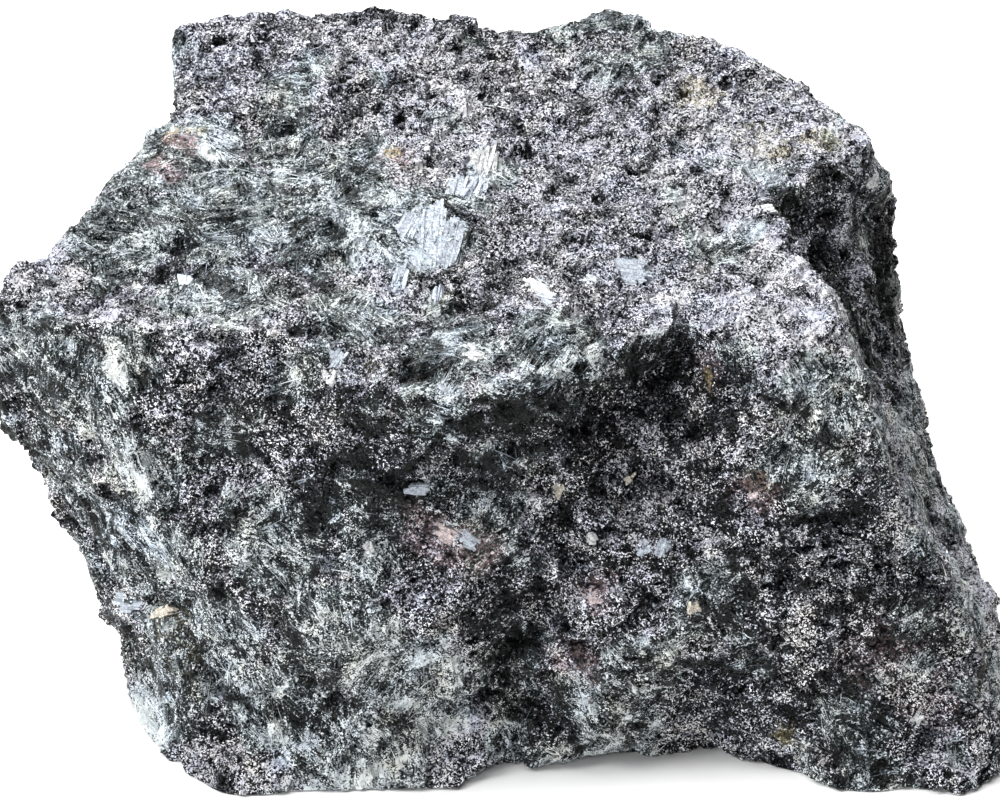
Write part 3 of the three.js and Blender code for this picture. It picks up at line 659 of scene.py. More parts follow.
class FrontView:
    """Finds where a mark of the front view lies on the skin."""

    def __init__(self, points, triangles):
        self.tree = BVHTree.FromPolygons(points.tolist(), triangles.tolist())

    def place(self, across, up):
        start = VIEW_MIDDLE + (ACROSS * across + UP * up + NEAR * RAY_START) * MM
        spot = self.tree.ray_cast(start, -NEAR)[0]
        if spot is None:
            spot = self.tree.find_nearest(start - NEAR * RAY_START * MM)[0]
        return np.array(spot)

    def line(self, stops):
        """Spots on the skin along a line through these places of the view."""
        places = [np.array(stops[0], float)]
        for start, end in zip(stops, stops[1:]):
            start, end = np.array(start), np.array(end)
            steps = max(1, round(np.linalg.norm(end - start) / MARK_STEP))
            places += [start + (end - start) * (k + 1) / steps for k in range(steps)]
        return [self.place(*place) for place in places]

    def field(self, points, marks, edge_noise):
        """The sum of marks at each point, with uneven edges."""
        total = np.zeros(len(points))
        for *stops, radius, amount in marks:
            spots = np.array(self.line(stops))
            reach = MARK_REACH * radius * MM
            inside = (points > spots.min(axis=0) - reach) & (points < spots.max(axis=0) + reach)
            near = np.flatnonzero(inside.all(axis=1))
            gap = np.full(len(near), np.inf)
            for spot in spots:
                gap = np.minimum(gap, np.linalg.norm(points[near] - spot, axis=1))
            share = ease(MARK_FADE - gap / (radius * MM) - MARK_UNEVEN * edge_noise[near])
            total[near] += amount * share
        return total


def direction_in_view(degrees):
    """Directions in the front view's plane, as vectors."""
    angle = np.radians(degrees)[..., None]
    return np.array(ACROSS) * np.cos(angle) + np.array(UP) * np.sin(angle)


def laid_down(directions, normals):
    """Directions in the surface that look like these from the front."""
    facing = normals @ np.array(NEAR)
    facing = np.where(np.abs(facing) < 0.3, np.where(facing < 0, -0.3, 0.3), facing)
    lift = -np.sum(directions * normals, axis=1) / facing
    return directions + lift[:, None] * np.array(NEAR)


class Fibres:
    """How fibrous the rock is at each point, which way its fibres run, and the middle of
    the sheaf they belong to."""

    def __init__(self, view, points, normals):
        bent = points / MM + waves(points / (4 * MM), 1)
        patchy = wave(bent / 7, 2) + 0.6 * wave(bent / 3, 3)
        steep = 1 - lying(normals[:, 2])
        self.amount = ease((patchy - 0.1 + 0.2 * steep) * 2) * 0.8
        big, big_own = shards(bent / SHEAF, 4)
        small, small_own = shards(bent / SMALL_SHEAF, 5)
        use_small = (big_own[:, 2] > 0.6)[:, None]
        own = np.where(use_small, small_own, big_own)
        self.middles = np.where(use_small, small * SMALL_SHEAF, big * SHEAF) * MM
        self.along = direction_in_view(own[:, 0] * 360)
        nearest = np.full(len(points), 1.2)
        areas = rows(FIBROUS_AREAS)
        for across, up, length, width, degrees, _ in rows(FLAKES):
            areas.append((across, up, 0.5 * math.sqrt(length * width), degrees, 8))
        for across, up, radius, degrees, stray in areas:
            gap = np.linalg.norm(points - view.place(across, up), axis=1) / (radius * MM)
            gap += AREA_UNEVEN * patchy
            self.amount = np.maximum(self.amount, ease((AREA_FADE - gap) * AREA_SOFTNESS))
            mine = gap < nearest
            nearest[mine] = gap[mine]
            turn = (own[mine, 0] + own[mine, 1] - 1) * 2 * stray
            self.along[mine] = laid_down(direction_in_view(degrees + turn), normals[mine])
        for across, up, radius in rows(GRANULAR_AREAS):
            gap = np.linalg.norm(points - view.place(across, up), axis=1) / (radius * MM)
            gap += AREA_UNEVEN * patchy
            self.amount *= 1 - 0.9 * ease((AREA_FADE - gap) * AREA_SOFTNESS)
        self.along -= normals * np.sum(self.along * normals, axis=1, keepdims=True)
        self.along = unit(self.along)

    def strand_places(self, points):
        """Each point's place from the middle of its sheaf, drawn together along the fibres."""
        offsets = (points - self.middles) / MM
        along = np.sum(offsets * self.along, axis=1, keepdims=True)
        return offsets - self.along * along * (1 - 1 / RIB_LENGTH)


def leaning_facets(places, salt):
    """The height of facets that lean at random, with small cliffs between them."""
    middles, own = shards(places, salt)
    lean = unit(own - 0.5)
    return np.sum((places - middles) * lean, axis=1) + 0.6 * (own[:, 0] - 0.5)


def small_holes(points):
    """Small flattened holes between the clumps of grains, from 0 to 1 in the middle of one."""
    places = points / (HOLE_GAP * MM) * (0.75, 0.75, 1.3) + 0.25 * waves(points / (0.8 * MM), 8)
    middles, own = shards(places, 9)
    reach = 0.1 + 0.28 * own[:, 1]
    gap = np.linalg.norm(places - middles, axis=1)
    return ease((1 - gap / reach) * 2) * (own[:, 0] < 0.5)


def skin_of(points, triangles):
    """The solid's skin with its facets, ribs, holes and pits, how the fibres run in it, and
    how much lighter or darker each point is: painted shade in low places and holes, painted
    light on high places, and patches of the rock's own tone."""
    for _ in range(FINE_SPLITS):
        points, triangles = split_in_four(points, triangles)
        points = smoothed(points, triangles, 0.5, 2)
    normals = point_normals(points, triangles)
    view = FrontView(points, triangles)
    fibres = Fibres(view, points, normals)
    bent = points / MM + FORM_BEND * waves(points / (BEND_SIZE * MM), 6)
    granular = layered(leaning_facets, bent, HACKLES, 10)
    strands = fibres.strand_places(points)
    ribbed = layered(wave, strands, RIBS, 20) + layered(leaning_facets, strands, SPLINTERS, 30)
    holes = small_holes(points) * (1 - FIBROUS_FEWER_HOLES * fibres.amount)
    height = granular * (1 - FIBROUS_FLATTER * fibres.amount) + ribbed * fibres.amount
    # Painted shade: low places and holes darker, high places lighter; then patches of the rock's
    # own tone
    shade = HEIGHT_PAINTED_SHADE * height - HOLE_PAINTED_SHADE * holes
    shade += layered(wave, bent, PATCHES, 60)
    none = np.zeros(len(points))
    height -= view.field(points, rows(PITS), none) + HOLE_DEPTH * holes
    standing = points[:, 2] > FOOT_HEIGHT * MM
    points = points + normals * (height * MM * standing)[:, None]
    points[:, 2] = np.maximum(points[:, 2], 0)
    return points, triangles, view, fibres, shade


# ---- Materials ----


class Nodes:
    """Short calls for making and joining the nodes of one tree."""

    def __init__(self, tree):
        self.tree = tree
        self.column = 0

    def add(self, kind, inputs=None, **settings):
        node = self.tree.nodes.new(kind)
        self.column += 1
        node.location = (self.column * 180, (self.column % 4) * -220)
        for key, value in settings.items():
            setattr(node, key, value)
        for key, value in (inputs or {}).items():
            self.set(node.inputs[key], value)
        return node

    def set(self, socket, value):
        if isinstance(value, bpy.types.NodeSocket):
            self.tree.links.new(value, socket)
        else:
            socket.default_value = value

    def math(self, operation, a, b=0.0, c=0.0, clamp=False):
        inputs = {0: a, 1: b, 2: c}
        return self.add("ShaderNodeMath", inputs, operation=operation, use_clamp=clamp).outputs[0]

    def vector(self, operation, a, b=None, scale=None):
        node = self.add("ShaderNodeVectorMath", {0: a}, operation=operation)
        if b is not None:
            self.set(node.inputs[1], b)
        if scale is not None:
            self.set(node.inputs[3], scale)
        return node.outputs["Value" if operation == "DOT_PRODUCT" else 0]

    def ramp(self, value, tones):
        node = self.add("ShaderNodeValToRGB", {"Fac": value})
        elements = node.color_ramp.elements
        while len(elements) < len(tones):
            elements.new(1.0)
        for element, (position, colour) in zip(elements, tones.items()):
            element.position = position
            element.color = (*srgb(*colour), 1)
        return node.outputs["Color"]

    def mix(self, share, a, b, blend="MIX"):
        inputs = {"Factor": share, 6: a, 7: b}
        node = self.add("ShaderNodeMix", inputs, data_type="RGBA", blend_type=blend)
        return node.outputs[2]

    def read(self, name, output="Fac"):
        return self.add("ShaderNodeAttribute", attribute_name=name).outputs[output]


def srgb(red, green, blue):
    """A colour given from 0 to 255, as the shader wants it."""
    return tuple(((v / 255 + 0.055) / 1.055) ** 2.4 if v > 10 else v / 255 / 12.92
                 for v in (red, green, blue))


MAGNETITE_TONES = {
    0.10: (5, 6, 8),
    0.30: (50, 53, 60),
    0.50: (112, 114, 122),
    0.70: (173, 174, 182),
    0.90: (226, 226, 234),
    1.00: (247, 248, 251),
}
AMPHIBOLE_TONES = {
    0.12: (8, 11, 11),
    0.32: (54, 61, 63),
    0.50: (107, 115, 119),
    0.70: (163, 171, 175),
    0.90: (220, 226, 228),
}
ROSE = srgb(204, 174, 176)
RUST = srgb(184, 172, 124)
WARM_CAST = (0.07, 0.02, -0.08)
FINE_GRAINS = 7.5  # per mm
COARSE_GRAINS = 3.4


def new_group(name, inputs, outputs):
    """An empty shader node group with these sockets: a kind, or a number's usual value."""
    tree = bpy.data.node_groups.new(name, "ShaderNodeTree")
    for in_out, sockets in (("INPUT", inputs), ("OUTPUT", outputs)):
        for socket, given in sockets.items():
            kind = given if isinstance(given, str) else "Float"
            made = tree.interface.new_socket(
                socket, in_out=in_out, socket_type=f"NodeSocket{kind}"
            )
            if kind != given:
                made.default_value = given
    build = Nodes(tree)
    return tree, build, build.add("NodeGroupInput").outputs, build.add("NodeGroupOutput").inputs


def grain_group():
    """Broken mineral grains of one size: each has its own tone and leaning face."""
    tree, build, given, result = new_group(
        "mineral grains",
        {"Place": "Vector", "Grains per mm": 2.4},
        {"Tone": "Float", "Height": "Float"},
    )
    inputs = {"Vector": given["Place"], "Scale": given["Grains per mm"]}
    grains = build.add("ShaderNodeTexVoronoi", inputs, feature="F1")
    own = grains.outputs["Color"]
    offset = build.vector("SUBTRACT", given["Place"], grains.outputs["Position"])
    lean = build.vector("SUBTRACT", own, (0.5, 0.5, 0.5))
    tone = build.add("ShaderNodeSeparateColor", {"Color": own}).outputs[0]
    build.set(result["Tone"], tone)
    build.set(result["Height"], build.vector("DOT_PRODUCT", offset, lean))
    return tree


def strand_group():
    """Fine wavy fibres that run one way in each sheaf."""
    tree, build, given, result = new_group(
        "amphibole strands",
        {
            "Place": "Vector",
            "Sheaf middle": "Vector",
            "Fibre way": "Vector",
            "Strands per mm": 1.0,
            "Waviness": 0.5,
        },
        {"Tone": "Float"},
    )
    place, way = given["Place"], given["Fibre way"]
    swell = build.add("ShaderNodeTexNoise", {"Vector": place, "Scale": 0.5, "Detail": 1.0})
    sway = build.vector("SUBTRACT", swell.outputs["Color"], (0.5, 0.5, 0.5))
    place = build.vector("ADD", place, build.vector("SCALE", sway, scale=given["Waviness"]))
    offset = build.vector("SUBTRACT", place, given["Sheaf middle"])
    along = build.vector("DOT_PRODUCT", offset, way)
    drawn = build.math("MULTIPLY", along, -0.88)
    strand = build.vector("ADD", offset, build.vector("SCALE", way, scale=drawn))
    inputs = {"Vector": strand, "Scale": given["Strands per mm"]}
    shape = {"Detail": 4.0, "Roughness": 0.85, "Lacunarity": 2.1}
    noise = build.add("ShaderNodeTexNoise", {**inputs, **shape})
    build.set(result["Tone"], noise.outputs["Fac"])
    return tree


def stain_group():
    """Rosy and rusty stains over a mineral's colour, which take some grains and miss others,
    and a warmer or colder cast."""
    tree, build, given, result = new_group(
        "stains",
        {"Colour": "Color", "Rosy": 0.0, "Rusty": 0.0, "Warmth": 0.0, "Grain": 0.5},
        {"Colour": "Color"},
    )
    cast = build.add("ShaderNodeCombineXYZ", dict(enumerate(WARM_CAST))).outputs[0]
    cast = build.vector("SCALE", cast, scale=given["Warmth"])
    cast = build.vector("ADD", cast, (1.0, 1.0, 1.0))
    colour = build.vector("MULTIPLY", given["Colour"], cast)
    for name, tint in (("Rosy", ROSE), ("Rusty", RUST)):
        share = build.math("MULTIPLY_ADD", given["Grain"], 1.4, -0.9)
        share = build.math("ADD", share, given[name])
        share = build.math("MULTIPLY", share, given[name], clamp=True)
        tinted = build.mix(1.0, colour, (*tint, 1), "SOFT_LIGHT")
        colour = build.mix(share, colour, build.mix(0.35, tinted, (*tint, 1)))
    build.set(result["Colour"], colour)
    return tree


GRAINS = grain_group()
STRANDS = strand_group()
STAINS = stain_group()


def new_material(name, values):
    """A material with its shader and the values that are the same all over it."""
    material = bpy.data.materials.new(name)
    material.use_nodes = True
    material.node_tree.nodes.clear()
    build = Nodes(material.node_tree)
    shader = build.add("ShaderNodeBsdfPrincipled", values)
    build.add("ShaderNodeOutputMaterial", {"Surface": shader.outputs[0]})
    return material, build, shader.inputs


def placed_group(build, tree, inputs):
    return build.add("ShaderNodeGroup", inputs, node_tree=tree).outputs


def place_in_mm(build):
    """The place on the piece, in mm."""
    coordinates = build.add("ShaderNodeTexCoord")
    return build.vector("SCALE", coordinates.outputs["Object"], scale=1000.0)


def grains_of(build, place, per_mm):
    """The tone and the height of grains of this size."""
    return placed_group(build, GRAINS, {"Place": place, "Grains per mm": per_mm})


def strand_tone(build, place, per_mm, waviness):
    """The tone of strands that follow the mesh's own sheaves."""
    inputs = {
        "Place": place,
        "Sheaf middle": build.read("sheaf_middle", "Vector"),
        "Fibre way": build.read("fibre_way", "Vector"),
        "Strands per mm": per_mm,
        "Waviness": waviness,
    }
    return placed_group(build, STRANDS, inputs)["Tone"]


def stained(build, colour, grain):
    """The colour with the stains that the mesh holds."""
    inputs = {"Colour": colour, "Grain": grain}
    for name in ("Rosy", "Rusty", "Warmth"):
        inputs[name] = build.read(name.lower())
    return placed_group(build, STAINS, inputs)["Colour"]


def bumped(build, height, distance):
    return build.add("ShaderNodeBump", {"Height": height, "Distance": distance}).outputs[0]


def weighed(build, base, parts):
    """The base plus each part's distance from a half, times its weight."""
    total = base
    for value, weight in parts:
        total = build.math("MULTIPLY_ADD", value, weight, total)
        total = build.math("SUBTRACT", total, weight / 2)
    return total


def ore_material():
    """The rock between the crystals: fine grains and, in the fibrous areas, strands."""
    material, build, shader = new_material("broken ore", {"Specular IOR Level": 0.2})
    place = place_in_mm(build)
    fine = grains_of(build, place, FINE_GRAINS)
    coarse_tone = grains_of(build, place, COARSE_GRAINS)["Tone"]
    strands = strand_tone(build, place, 1.9, 0.9)
    # The shade read here holds painted light and shade as well as the rock's own tone
    base = build.math("ADD", build.read("shade"), 0.4)
    contrast = build.read("contrast")
    # contrast is stronger on steep faces, partly painted glints; brightest is a painted dimming on
    # upward faces
    brightest = build.read("brightest")
    finishes = (  # what weighs how much in the tone of each kind of rock, and its tones
        ([(fine["Tone"], 1.15), (coarse_tone, 0.55)], MAGNETITE_TONES),
        ([(strands, 2.7), (fine["Tone"], 0.8), (coarse_tone, 0.25)], AMPHIBOLE_TONES),
    )
    colours = []
    for parts, tones in finishes:
        tone = build.math("MULTIPLY_ADD", weighed(build, 0.0, parts), contrast, base)
        colours.append(build.ramp(build.math("MINIMUM", tone, brightest), tones))
    fibrous = weighed(build, build.read("fibrous"), [(coarse_tone, 0.3)])
    fibrous = build.math("MULTIPLY_ADD", fibrous, 3.0, -1.0, clamp=True)
    colour = build.mix(fibrous, *colours)
    build.set(shader["Base Color"], stained(build, colour, coarse_tone))
    build.set(shader["Roughness"], build.math("MULTIPLY_ADD", coarse_tone, -0.25, 0.4))
    height = build.math("MULTIPLY_ADD", fibrous, -0.9, 1.4)
    height = build.math("MULTIPLY", fine["Height"], height)
    build.set(shader["Normal"], bumped(build, height, MM))
    return material


def crystal_material():
    """Magnetite crystals, each with its own tone and gloss."""
    values = {"Specular IOR Level": 0.4, "Metallic": 0.25}
    material, build, shader = new_material("magnetite crystals", values)
    gloss = build.read("gloss")
    colour = build.ramp(build.read("tone"), MAGNETITE_TONES)
    build.set(shader["Base Color"], stained(build, colour, gloss))
    build.set(shader["Roughness"], build.math("MULTIPLY_ADD", gloss, -0.25, 0.35))
    return material


def needle_material():
    """Amphibole needles, from dark green-grey to nearly white."""
    values = {"Specular IOR Level": 0.25, "Roughness": 0.5}
    material, build, shader = new_material("amphibole needles", values)
    tone = build.read("tone")
    colour = build.ramp(tone, AMPHIBOLE_TONES)
    build.set(shader["Base Color"], stained(build, colour, tone))
    return material


def flake_material():
    """Pale striped laths with a soft pearly gloss."""
    values = {"Specular IOR Level": 0.5, "Roughness": 0.4}
    material, build, shader = new_material("cleavage flakes", values)
    place = place_in_mm(build)
    strands = strand_tone(build, place, 2.4, 0.4)
    stripe = weighed(build, strands, [(grains_of(build, place, 7.0)["Tone"], 0.5)])
    stripe = build.math("MULTIPLY_ADD", stripe, 2.4, -0.55, clamp=True)
    tint = build.read("tint", "Vector")
    dark = build.vector("MULTIPLY", tint, (0.38, 0.4, 0.42))
    build.set(shader["Base Color"], build.mix(stripe, dark, tint))
    build.set(shader["Normal"], bumped(build, stripe, 0.08 * MM))
    return material


# ---- Crystals, needles and flakes ----


def spread_places(points, triangles, weights, under, count, rng):
    """Places scattered evenly over the skin, closer together where the weight is higher, and
    fewer underneath: where, the normal there, and a point of the skin beside it."""
    normals = triangle_normals(points, triangles)
    weights = weights * np.where(unit(normals)[:, 2] < -0.5, under, 1.0)
    steps = np.cumsum(np.linalg.norm(normals, axis=1) * weights)
    picks = (np.arange(count) + rng.random(count)) * steps[-1] / count
    which = np.minimum(np.searchsorted(steps, picks), len(triangles) - 1)
    r, s = rng.random((2, count))
    r = np.sqrt(r)
    shares = np.stack([1 - r, r * (1 - s), r * s], axis=1)
    spots = np.sum(points[triangles[which]] * shares[:, :, None], axis=1)
    return spots, unit(normals[which]), triangles[which, 0]


def random_turns(count, rng):
    """Random rotations, as rows of three axes."""
    w, x, y, z = unit(rng.normal(size=(count, 4))).T
    axes = [
        [1 - 2 * (y * y + z * z), 2 * (x * y - z * w), 2 * (x * z + y * w)],
        [2 * (x * y + z * w), 1 - 2 * (x * x + z * z), 2 * (y * z - x * w)],
        [2 * (x * z - y * w), 2 * (y * z + x * w), 1 - 2 * (x * x + y * y)],
    ]
    return np.array(axes).transpose(2, 0, 1)


def many_alike(name, corners, each, faces, flat_map, values, material):
    """One piece of many like shapes of this many corners, with a value for each shape."""
    corners = corners.reshape(-1, 3)
    corners[:, 2] = np.maximum(corners[:, 2], 0)
    starts = np.arange(len(corners) // each) * each
    faces = (np.array(faces)[None] + starts[:, None, None]).reshape(-1, 3)
    obj, _ = made_object(name, corners, faces, material, flat_map)
    add_values(obj, "POINT", **{k: np.repeat(value, each, axis=0) for k, value in values.items()})


def rock_at(marks, at, least, rng):
    """A tone for each shape, with the painted light and shade of the rock that it stands on, and
    that rock's stains.
    """
    tone = rng.uniform(least, 0.85, len(at)) + marks["shade"][at]
    return {"tone": tone, **{name: marks[name][at] for name in ("rosy", "rusty", "warmth")}}


OCTAHEDRON_POINTS = np.array([sign * axis for axis in np.eye(3) for sign in (1, -1)])
OCTAHEDRON_FACES = [
    (0, 2, 4), (2, 1, 4), (1, 3, 4), (3, 0, 4), (2, 0, 5), (1, 2, 5), (3, 1, 5), (0, 3, 5)
]


def crystals(name, count, seed, skin, material):
    """Octahedra half sunk in the granular rock."""
    rng = np.random.default_rng(seed)
    points, triangles, marks = skin
    granular = 1 - 0.85 * marks["fibrous"][triangles].mean(axis=1)
    spots, normals, at = spread_places(
        points, triangles, granular, CRYSTALS_UNDERNEATH, count, rng
    )
    size = CRYSTAL_RADIUS * MM * np.exp(rng.normal(0, 0.3, count))
    sizes = size[:, None] * rng.uniform(0.7, 1.2, (count, 3))
    corners = (OCTAHEDRON_POINTS[None] * sizes[:, None, :]) @ random_turns(count, rng)
    corners += (spots - normals * (size * CRYSTAL_SINK)[:, None])[:, None, :]
    own = rock_at(marks, at, 0.0, rng)
    own["gloss"] = rng.random(count)
    many_alike(name, corners, 6, OCTAHEDRON_FACES, cell_map(count, 8), own, material)


def needles(name, count, seed, skin, fibres, tree, material):
    """Thin pointed prisms that lie on the fibrous rock and follow it."""
    rng = np.random.default_rng(seed)
    points, triangles, marks = skin
    fibrous = marks["fibrous"][triangles].mean(axis=1) ** 2 + 0.12
    spots, normals, at = spread_places(
        points, triangles, fibrous, NEEDLES_UNDERNEATH, count, rng
    )
    side = unit(np.cross(normals, fibres.along[at]))
    fan = rng.normal(0, NEEDLE_FAN, count)[:, None]
    along = unit(fibres.along[at] + side * fan)
    length = NEEDLE_LENGTH * MM * rng.uniform(0.4, 1.6, count)
    radius = NEEDLE_RADIUS * MM * rng.uniform(0.6, 1.8, count)
    rings = []
    for share, thick in NEEDLE_RINGS:
        centres = spots + along * (length * share)[:, None]
        found = [tree.find_nearest(centre)[:2] for centre in centres]
        centres, out = np.array(found).transpose(1, 0, 2)
        across = unit(np.cross(out, along))
        centres = centres + out * (radius * 0.4)[:, None]
        for turn in NEEDLE_TURNS:
            arm = out * math.cos(turn) + across * math.sin(turn)
            rings.append(centres + arm * (radius * thick)[:, None])
    faces = []
    for a in range(6):
        b = a // 3 * 3 + (a + 1) % 3
        faces += [(a, b, b + 3), (a, b + 3, a + 3)]
    faces += [(2, 1, 0), (6, 7, 8)]
    own = rock_at(marks, at, 0.2, rng)
    many_alike(name, np.stack(rings, axis=1), 9, faces, cell_map(count, 14), own, material)


def seen_on_plane(across, up, spot, normal):
    """Where these places of the front view lie on a plane through the spot."""
    start = np.array(VIEW_MIDDLE) / MM + np.outer(across, ACROSS) + np.outer(up, UP)
    near = np.array(NEAR)
    return start + np.outer((spot - start) @ normal / (normal @ near), near)


def resting_plane(tree, across, up, length, width):
    """The spot and the normal of a plane that lies on the skin round a place of the view."""
    hits = []
    for a in np.linspace(-0.5, 0.5, 5):
        for b in np.linspace(-0.5, 0.5, 5):
            place = ACROSS * (across + a * width) + UP * (up + b * length)
            start = VIEW_MIDDLE + (place + NEAR * RAY_START) * MM
            hit = tree.ray_cast(start, -NEAR)[0]
            if hit is not None:
                hits.append(hit)
    hits = np.array(hits) / MM
    spot = hits.mean(axis=0)
    normal = np.linalg.svd(hits - spot)[2][2]
    near = np.array(NEAR)
    normal = normal if normal @ near > 0 else -normal
    return spot, unit(normal + 0.4 * near)


LATH_STATIONS = (-0.5, -0.2, 0.15, 0.5)


def lath_faces():
    """The triangles of one four-sided lath and where they lie in its cell of the flat map."""
    faces, places = [], []
    last = len(LATH_STATIONS) - 1
    for i, k in np.ndindex(last, 4):
        a, b = i * 4 + k, i * 4 + (k + 1) % 4
        left, right = 0.05 + 0.9 * i / last, 0.05 + 0.9 * (i + 1) / last
        low, high = 0.05 + 0.8 * k / 4, 0.05 + 0.8 * (k + 1) / 4
        faces += [(a, b + 4, b), (a, a + 4, b + 4)]
        places.append([(left, low), (right, high), (left, high)])
        places.append([(left, low), (right, low), (right, high)])
    end = last * 4
    faces += [(0, 1, 2), (0, 2, 3), (end, end + 2, end + 1), (end, end + 3, end + 2)]
    places += [[(left, 0.88), (left + 0.15, 0.88), (left, 0.96)] for left in (0.1, 0.3, 0.5, 0.7)]
    return faces, np.array(places)


def round_flakes(amounts):
    """The ground under and round each flake as a mark, with its finish's amount."""
    marks = []
    for across, up, length, width, degrees, finish in rows(FLAKES):
        angle = math.radians(degrees)
        reach = max(0.0, length - width) * 0.5
        step = (reach * math.cos(angle), reach * math.sin(angle))
        stops = [(across - step[0], up - step[1]), (across + step[0], up + step[1])]
        marks.append((*stops, width * 0.45, amounts[finish]))
    return marks


def flakes(name, seed, tree, material):
    """Bundles of pale laths, each bundle in one cleavage plane that cuts the skin."""
    rng = np.random.default_rng(seed)
    corners, middles, ways, tints = [], [], [], []
    for across, up, length, width, degrees, finish in rows(FLAKES):
        spot, normal = resting_plane(tree, across, up, length, width)
        spot = spot + normal * LATH_LIFT * min(1.0, length / 3)
        angle = math.radians(degrees)
        way = np.array([math.cos(angle), math.sin(angle)])
        side = np.array([-way[1], way[0]])
        count = max(3, round(width / LATH_WIDTH * 1.9))
        depth = min(LATH_DEPTH, 0.3 * length)
        loose = max(0.0, 1 - length / 4)  # how untidy a small bundle is
        tint = np.array(srgb(*FLAKE_COLOURS[finish]))
        knots = np.linspace(-0.5, 0.5, 5)
        reaches, slides = rng.uniform(0.75, 1.1, 5), rng.normal(0, 0.08, 5)
        for k in range(count):
            off = (k + 0.5) / count - 0.5 + rng.normal(0, 0.03 + 0.12 * loose)
            reach = length * math.sqrt(max(0.2, 1 - (1.7 * off) ** 2)) * rng.uniform(0.85, 1.05)
            reach *= np.interp(off, knots, reaches) * (1 - 0.6 * loose * rng.random())
            slide = length * (np.interp(off, knots, slides) + rng.normal(0, 0.03 + 0.2 * loose))
            fan = off * rng.uniform(-0.1, 0.25) + rng.normal(0, 0.6) * loose
            lift = rng.normal(0, 0.05)
            tilt = rng.normal(0, 0.02 + 0.1 * loose)
            own = tint * rng.uniform(0.85, 1.08)
            for share in LATH_STATIONS:
                half = LATH_WIDTH * (0.6 if abs(share) < 0.4 else rng.uniform(0.2, 0.6))
                along = slide + reach * (share + rng.normal(0, 0.02))
                edges = width * (off + fan * share) + np.array([-half, half])
                places = along * way[None] + edges[:, None] * side[None]
                top = seen_on_plane(across + places[:, 0], up + places[:, 1], spot, normal)
                top = top + normal * (lift + np.array([[-tilt], [tilt]]))
                corners += [top[0], top[1], top[1] - normal * depth, top[0] - normal * depth]
            ends = seen_on_plane(
                across + np.array([0, way[0]]), up + np.array([0, way[1]]), spot, normal
            )
            middles.append(spot)
            ways.append(unit(ends[1] - ends[0]))
            tints.append(own)
    count = len(tints)
    faces, places = lath_faces()
    side = math.ceil(math.sqrt(count))
    cells = np.stack(np.divmod(np.arange(count), side), axis=1)
    flat_map = ((cells[:, None, None, :] + places[None]) / side).reshape(-1, 3, 2)
    own = {"sheaf_middle": np.array(middles), "fibre_way": np.array(ways), "tint": np.array(tints)}
    each = len(corners) // count
    many_alike(name, np.array(corners) * MM, each, faces, flat_map, own, material)


# ---- The stone ----

rough_points, rough_triangles = welded(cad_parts["magnetite_stone"])
points, triangles, view, fibres, shade = skin_of(rough_points, rough_triangles)
edge_noise = wave(points / (EDGE_SIZE * MM), 7)
facing_up = smoothed(point_normals(points, triangles), triangles, 0.5, 3)[:, 2]
upward_lying = lying(facing_up)
# Painted shade on steep faces: darker, with a stronger contrast that is partly painted glints
contrast = UPWARD_CONTRAST + (STEEP_CONTRAST - FIBROUS_CONTRAST * fibres.amount) * (1 - upward_lying)
darker = (STEEP_PAINTED_SHADE - FIBROUS_LIGHTER * fibres.amount) * (1 - upward_lying)
warmth = layered(wave, points / MM, WARMTHS, 70)


def marked(table):
    """The sum of these marks at each point of the skin."""
    return view.field(points, table, edge_noise)


marks = {
    "fibrous": fibres.amount,
    # the rock's tone with painted light and shade: painted shade in hollows, holes, pits, under
    # the ledge and on steep faces, painted highlights on edges
    "shade": shade * contrast + marked(rows(TONES_AND_PAINTED_LIGHT) + round_flakes(FLAKE_SHADES)) - darker,
    "rosy": marked(rows(ROSY_STAINS)),
    "rusty": marked(rows(RUSTY_STAINS)),
    "warmth": warmth + marked(round_flakes(FLAKE_WARMTHS)),
    "contrast": contrast * (1 + layered(wave, points / MM, CONTRASTS, 72)),
    # a painted dimming of the lightest grains on faces that lie upward
    "brightest": 1 - UPWARD_PAINTED_DIMMING * upward_lying,
}
skin = (points, triangles, marks)

ore_finish = ore_material()
middles = rough_points[rough_triangles].mean(axis=1)
quarter = (middles[:, 0] > 0) + 2 * (middles[:, 1] > 0)
for i, name in enumerate(("front_left", "front_right", "back_left", "back_right")):
    rough = np.flatnonzero(quarter == i)
    corners = unfolded(rough_points, rough_triangles[rough])
    for _ in range(FINE_SPLITS):
        corners = split_corners(corners)
    whole = np.arange(4**FINE_SPLITS)[:, None] * len(rough_triangles)
    fine = triangles[(whole + rough).ravel()]
    obj, used = made_object(f"ore_body_{name}", points, fine, ore_finish, corners)
    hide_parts("magnetite_stone")
    add_values(obj, "POINT", **{key: value[used] for key, value in marks.items()})
    first = fine[:, 0]
    add_values(
        obj, "FACE", sheaf_middle=fibres.middles[first] / MM, fibre_way=fibres.along[first]
    )

crystal_finish = crystal_material()
for i, (seed, count) in enumerate(CRYSTAL_SETS.items(), 1):
    crystals(f"magnetite_crystals_{i}", count, seed, skin, crystal_finish)
surface = BVHTree.FromPolygons(points.tolist(), triangles.tolist())
needles(
    "amphibole_needles", NEEDLE_COUNT, NEEDLE_SEED, skin, fibres, surface, needle_material()
)
flakes("cleavage_flakes", FLAKE_SEED, surface, flake_material())


# ---- Floor, light and camera, in metres ----

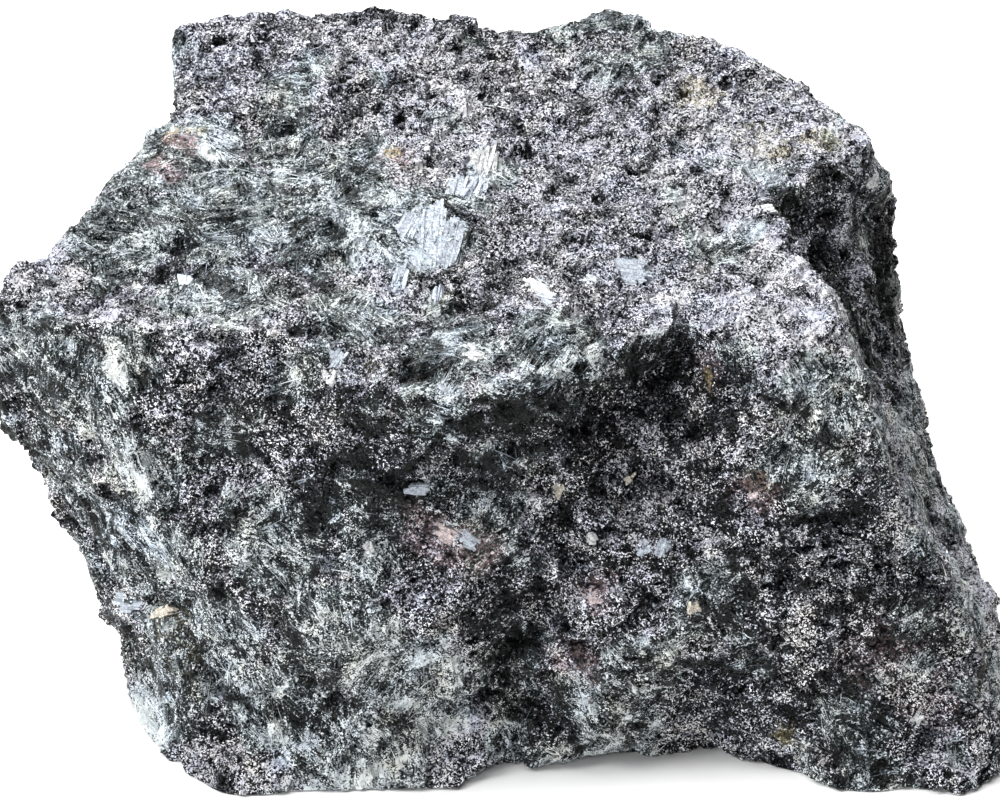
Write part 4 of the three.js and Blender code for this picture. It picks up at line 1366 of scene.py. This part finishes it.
FLOOR_HALF = 6.0
FLOOR_GREY = 0.86
LIGHT_DISTANCE = 0.9
LIGHT_SIZE = 0.45
LIGHT_AIM = 0.02  # how high above the floor the lights are aimed
WORLD_STRENGTH = 0.03
LIGHTS = {  # which way each stands from the stone, and its power
    "left softbox": ((-0.68, -0.22, 0.7), 9),
    "overhead softbox": ((0, 0, 1), 5.2),
    "back softbox": ((-0.1, 0.7, 0.7), 10),
    "front softbox": ((-0.25, -0.85, 0.45), 2.6),
}


def pale_floor():
    mesh = bpy.data.meshes.new("floor")
    half = FLOOR_HALF
    corners = [(-half, -half, 0), (half, -half, 0), (half, half, 0), (-half, half, 0)]
    mesh.from_pydata(corners, [], [(0, 1, 2, 3)])
    grey = (FLOOR_GREY, FLOOR_GREY, FLOOR_GREY, 1)
    material, _, _ = new_material("pale floor", {"Base Color": grey, "Roughness": 0.9})
    mesh.materials.append(material)
    obj = new_object("floor", mesh)


def softbox(name, direction, power):
    """A square soft light that shines on the stone from that direction."""
    data = bpy.data.lights.new(name, "AREA")
    data.shape = "SQUARE"
    data.size = LIGHT_SIZE
    data.energy = power
    obj = new_object(name, data)
    direction = Vector(direction).normalized()
    obj.location = direction * LIGHT_DISTANCE + Vector((0, 0, LIGHT_AIM))
    obj.rotation_euler = direction.to_track_quat("Z", "Y").to_euler()


pale_floor()
for name, (direction, power) in LIGHTS.items():
    softbox(name, direction, power)

world = bpy.data.worlds.new("studio")
bpy.context.scene.world = world
world.use_nodes = True
world.node_tree.nodes["Background"].inputs["Color"].default_value = (1, 1, 1, 1)
world.node_tree.nodes["Background"].inputs["Strength"].default_value = WORLD_STRENGTH

camera_data = bpy.data.cameras.new("camera")
camera_data.sensor_width = SENSOR_WIDTH
camera_data.lens = SENSOR_WIDTH * CAMERA_DISTANCE / VIEW_WIDTH
camera_data.clip_end = 100
camera = new_object("camera", camera_data)
camera.location = VIEW_MIDDLE + NEAR * CAMERA_DISTANCE
camera.rotation_euler = NEAR.to_track_quat("Z", "Y").to_euler()
bpy.context.scene.camera = camera
bpy.context.scene.view_settings.view_transform = "Standard"
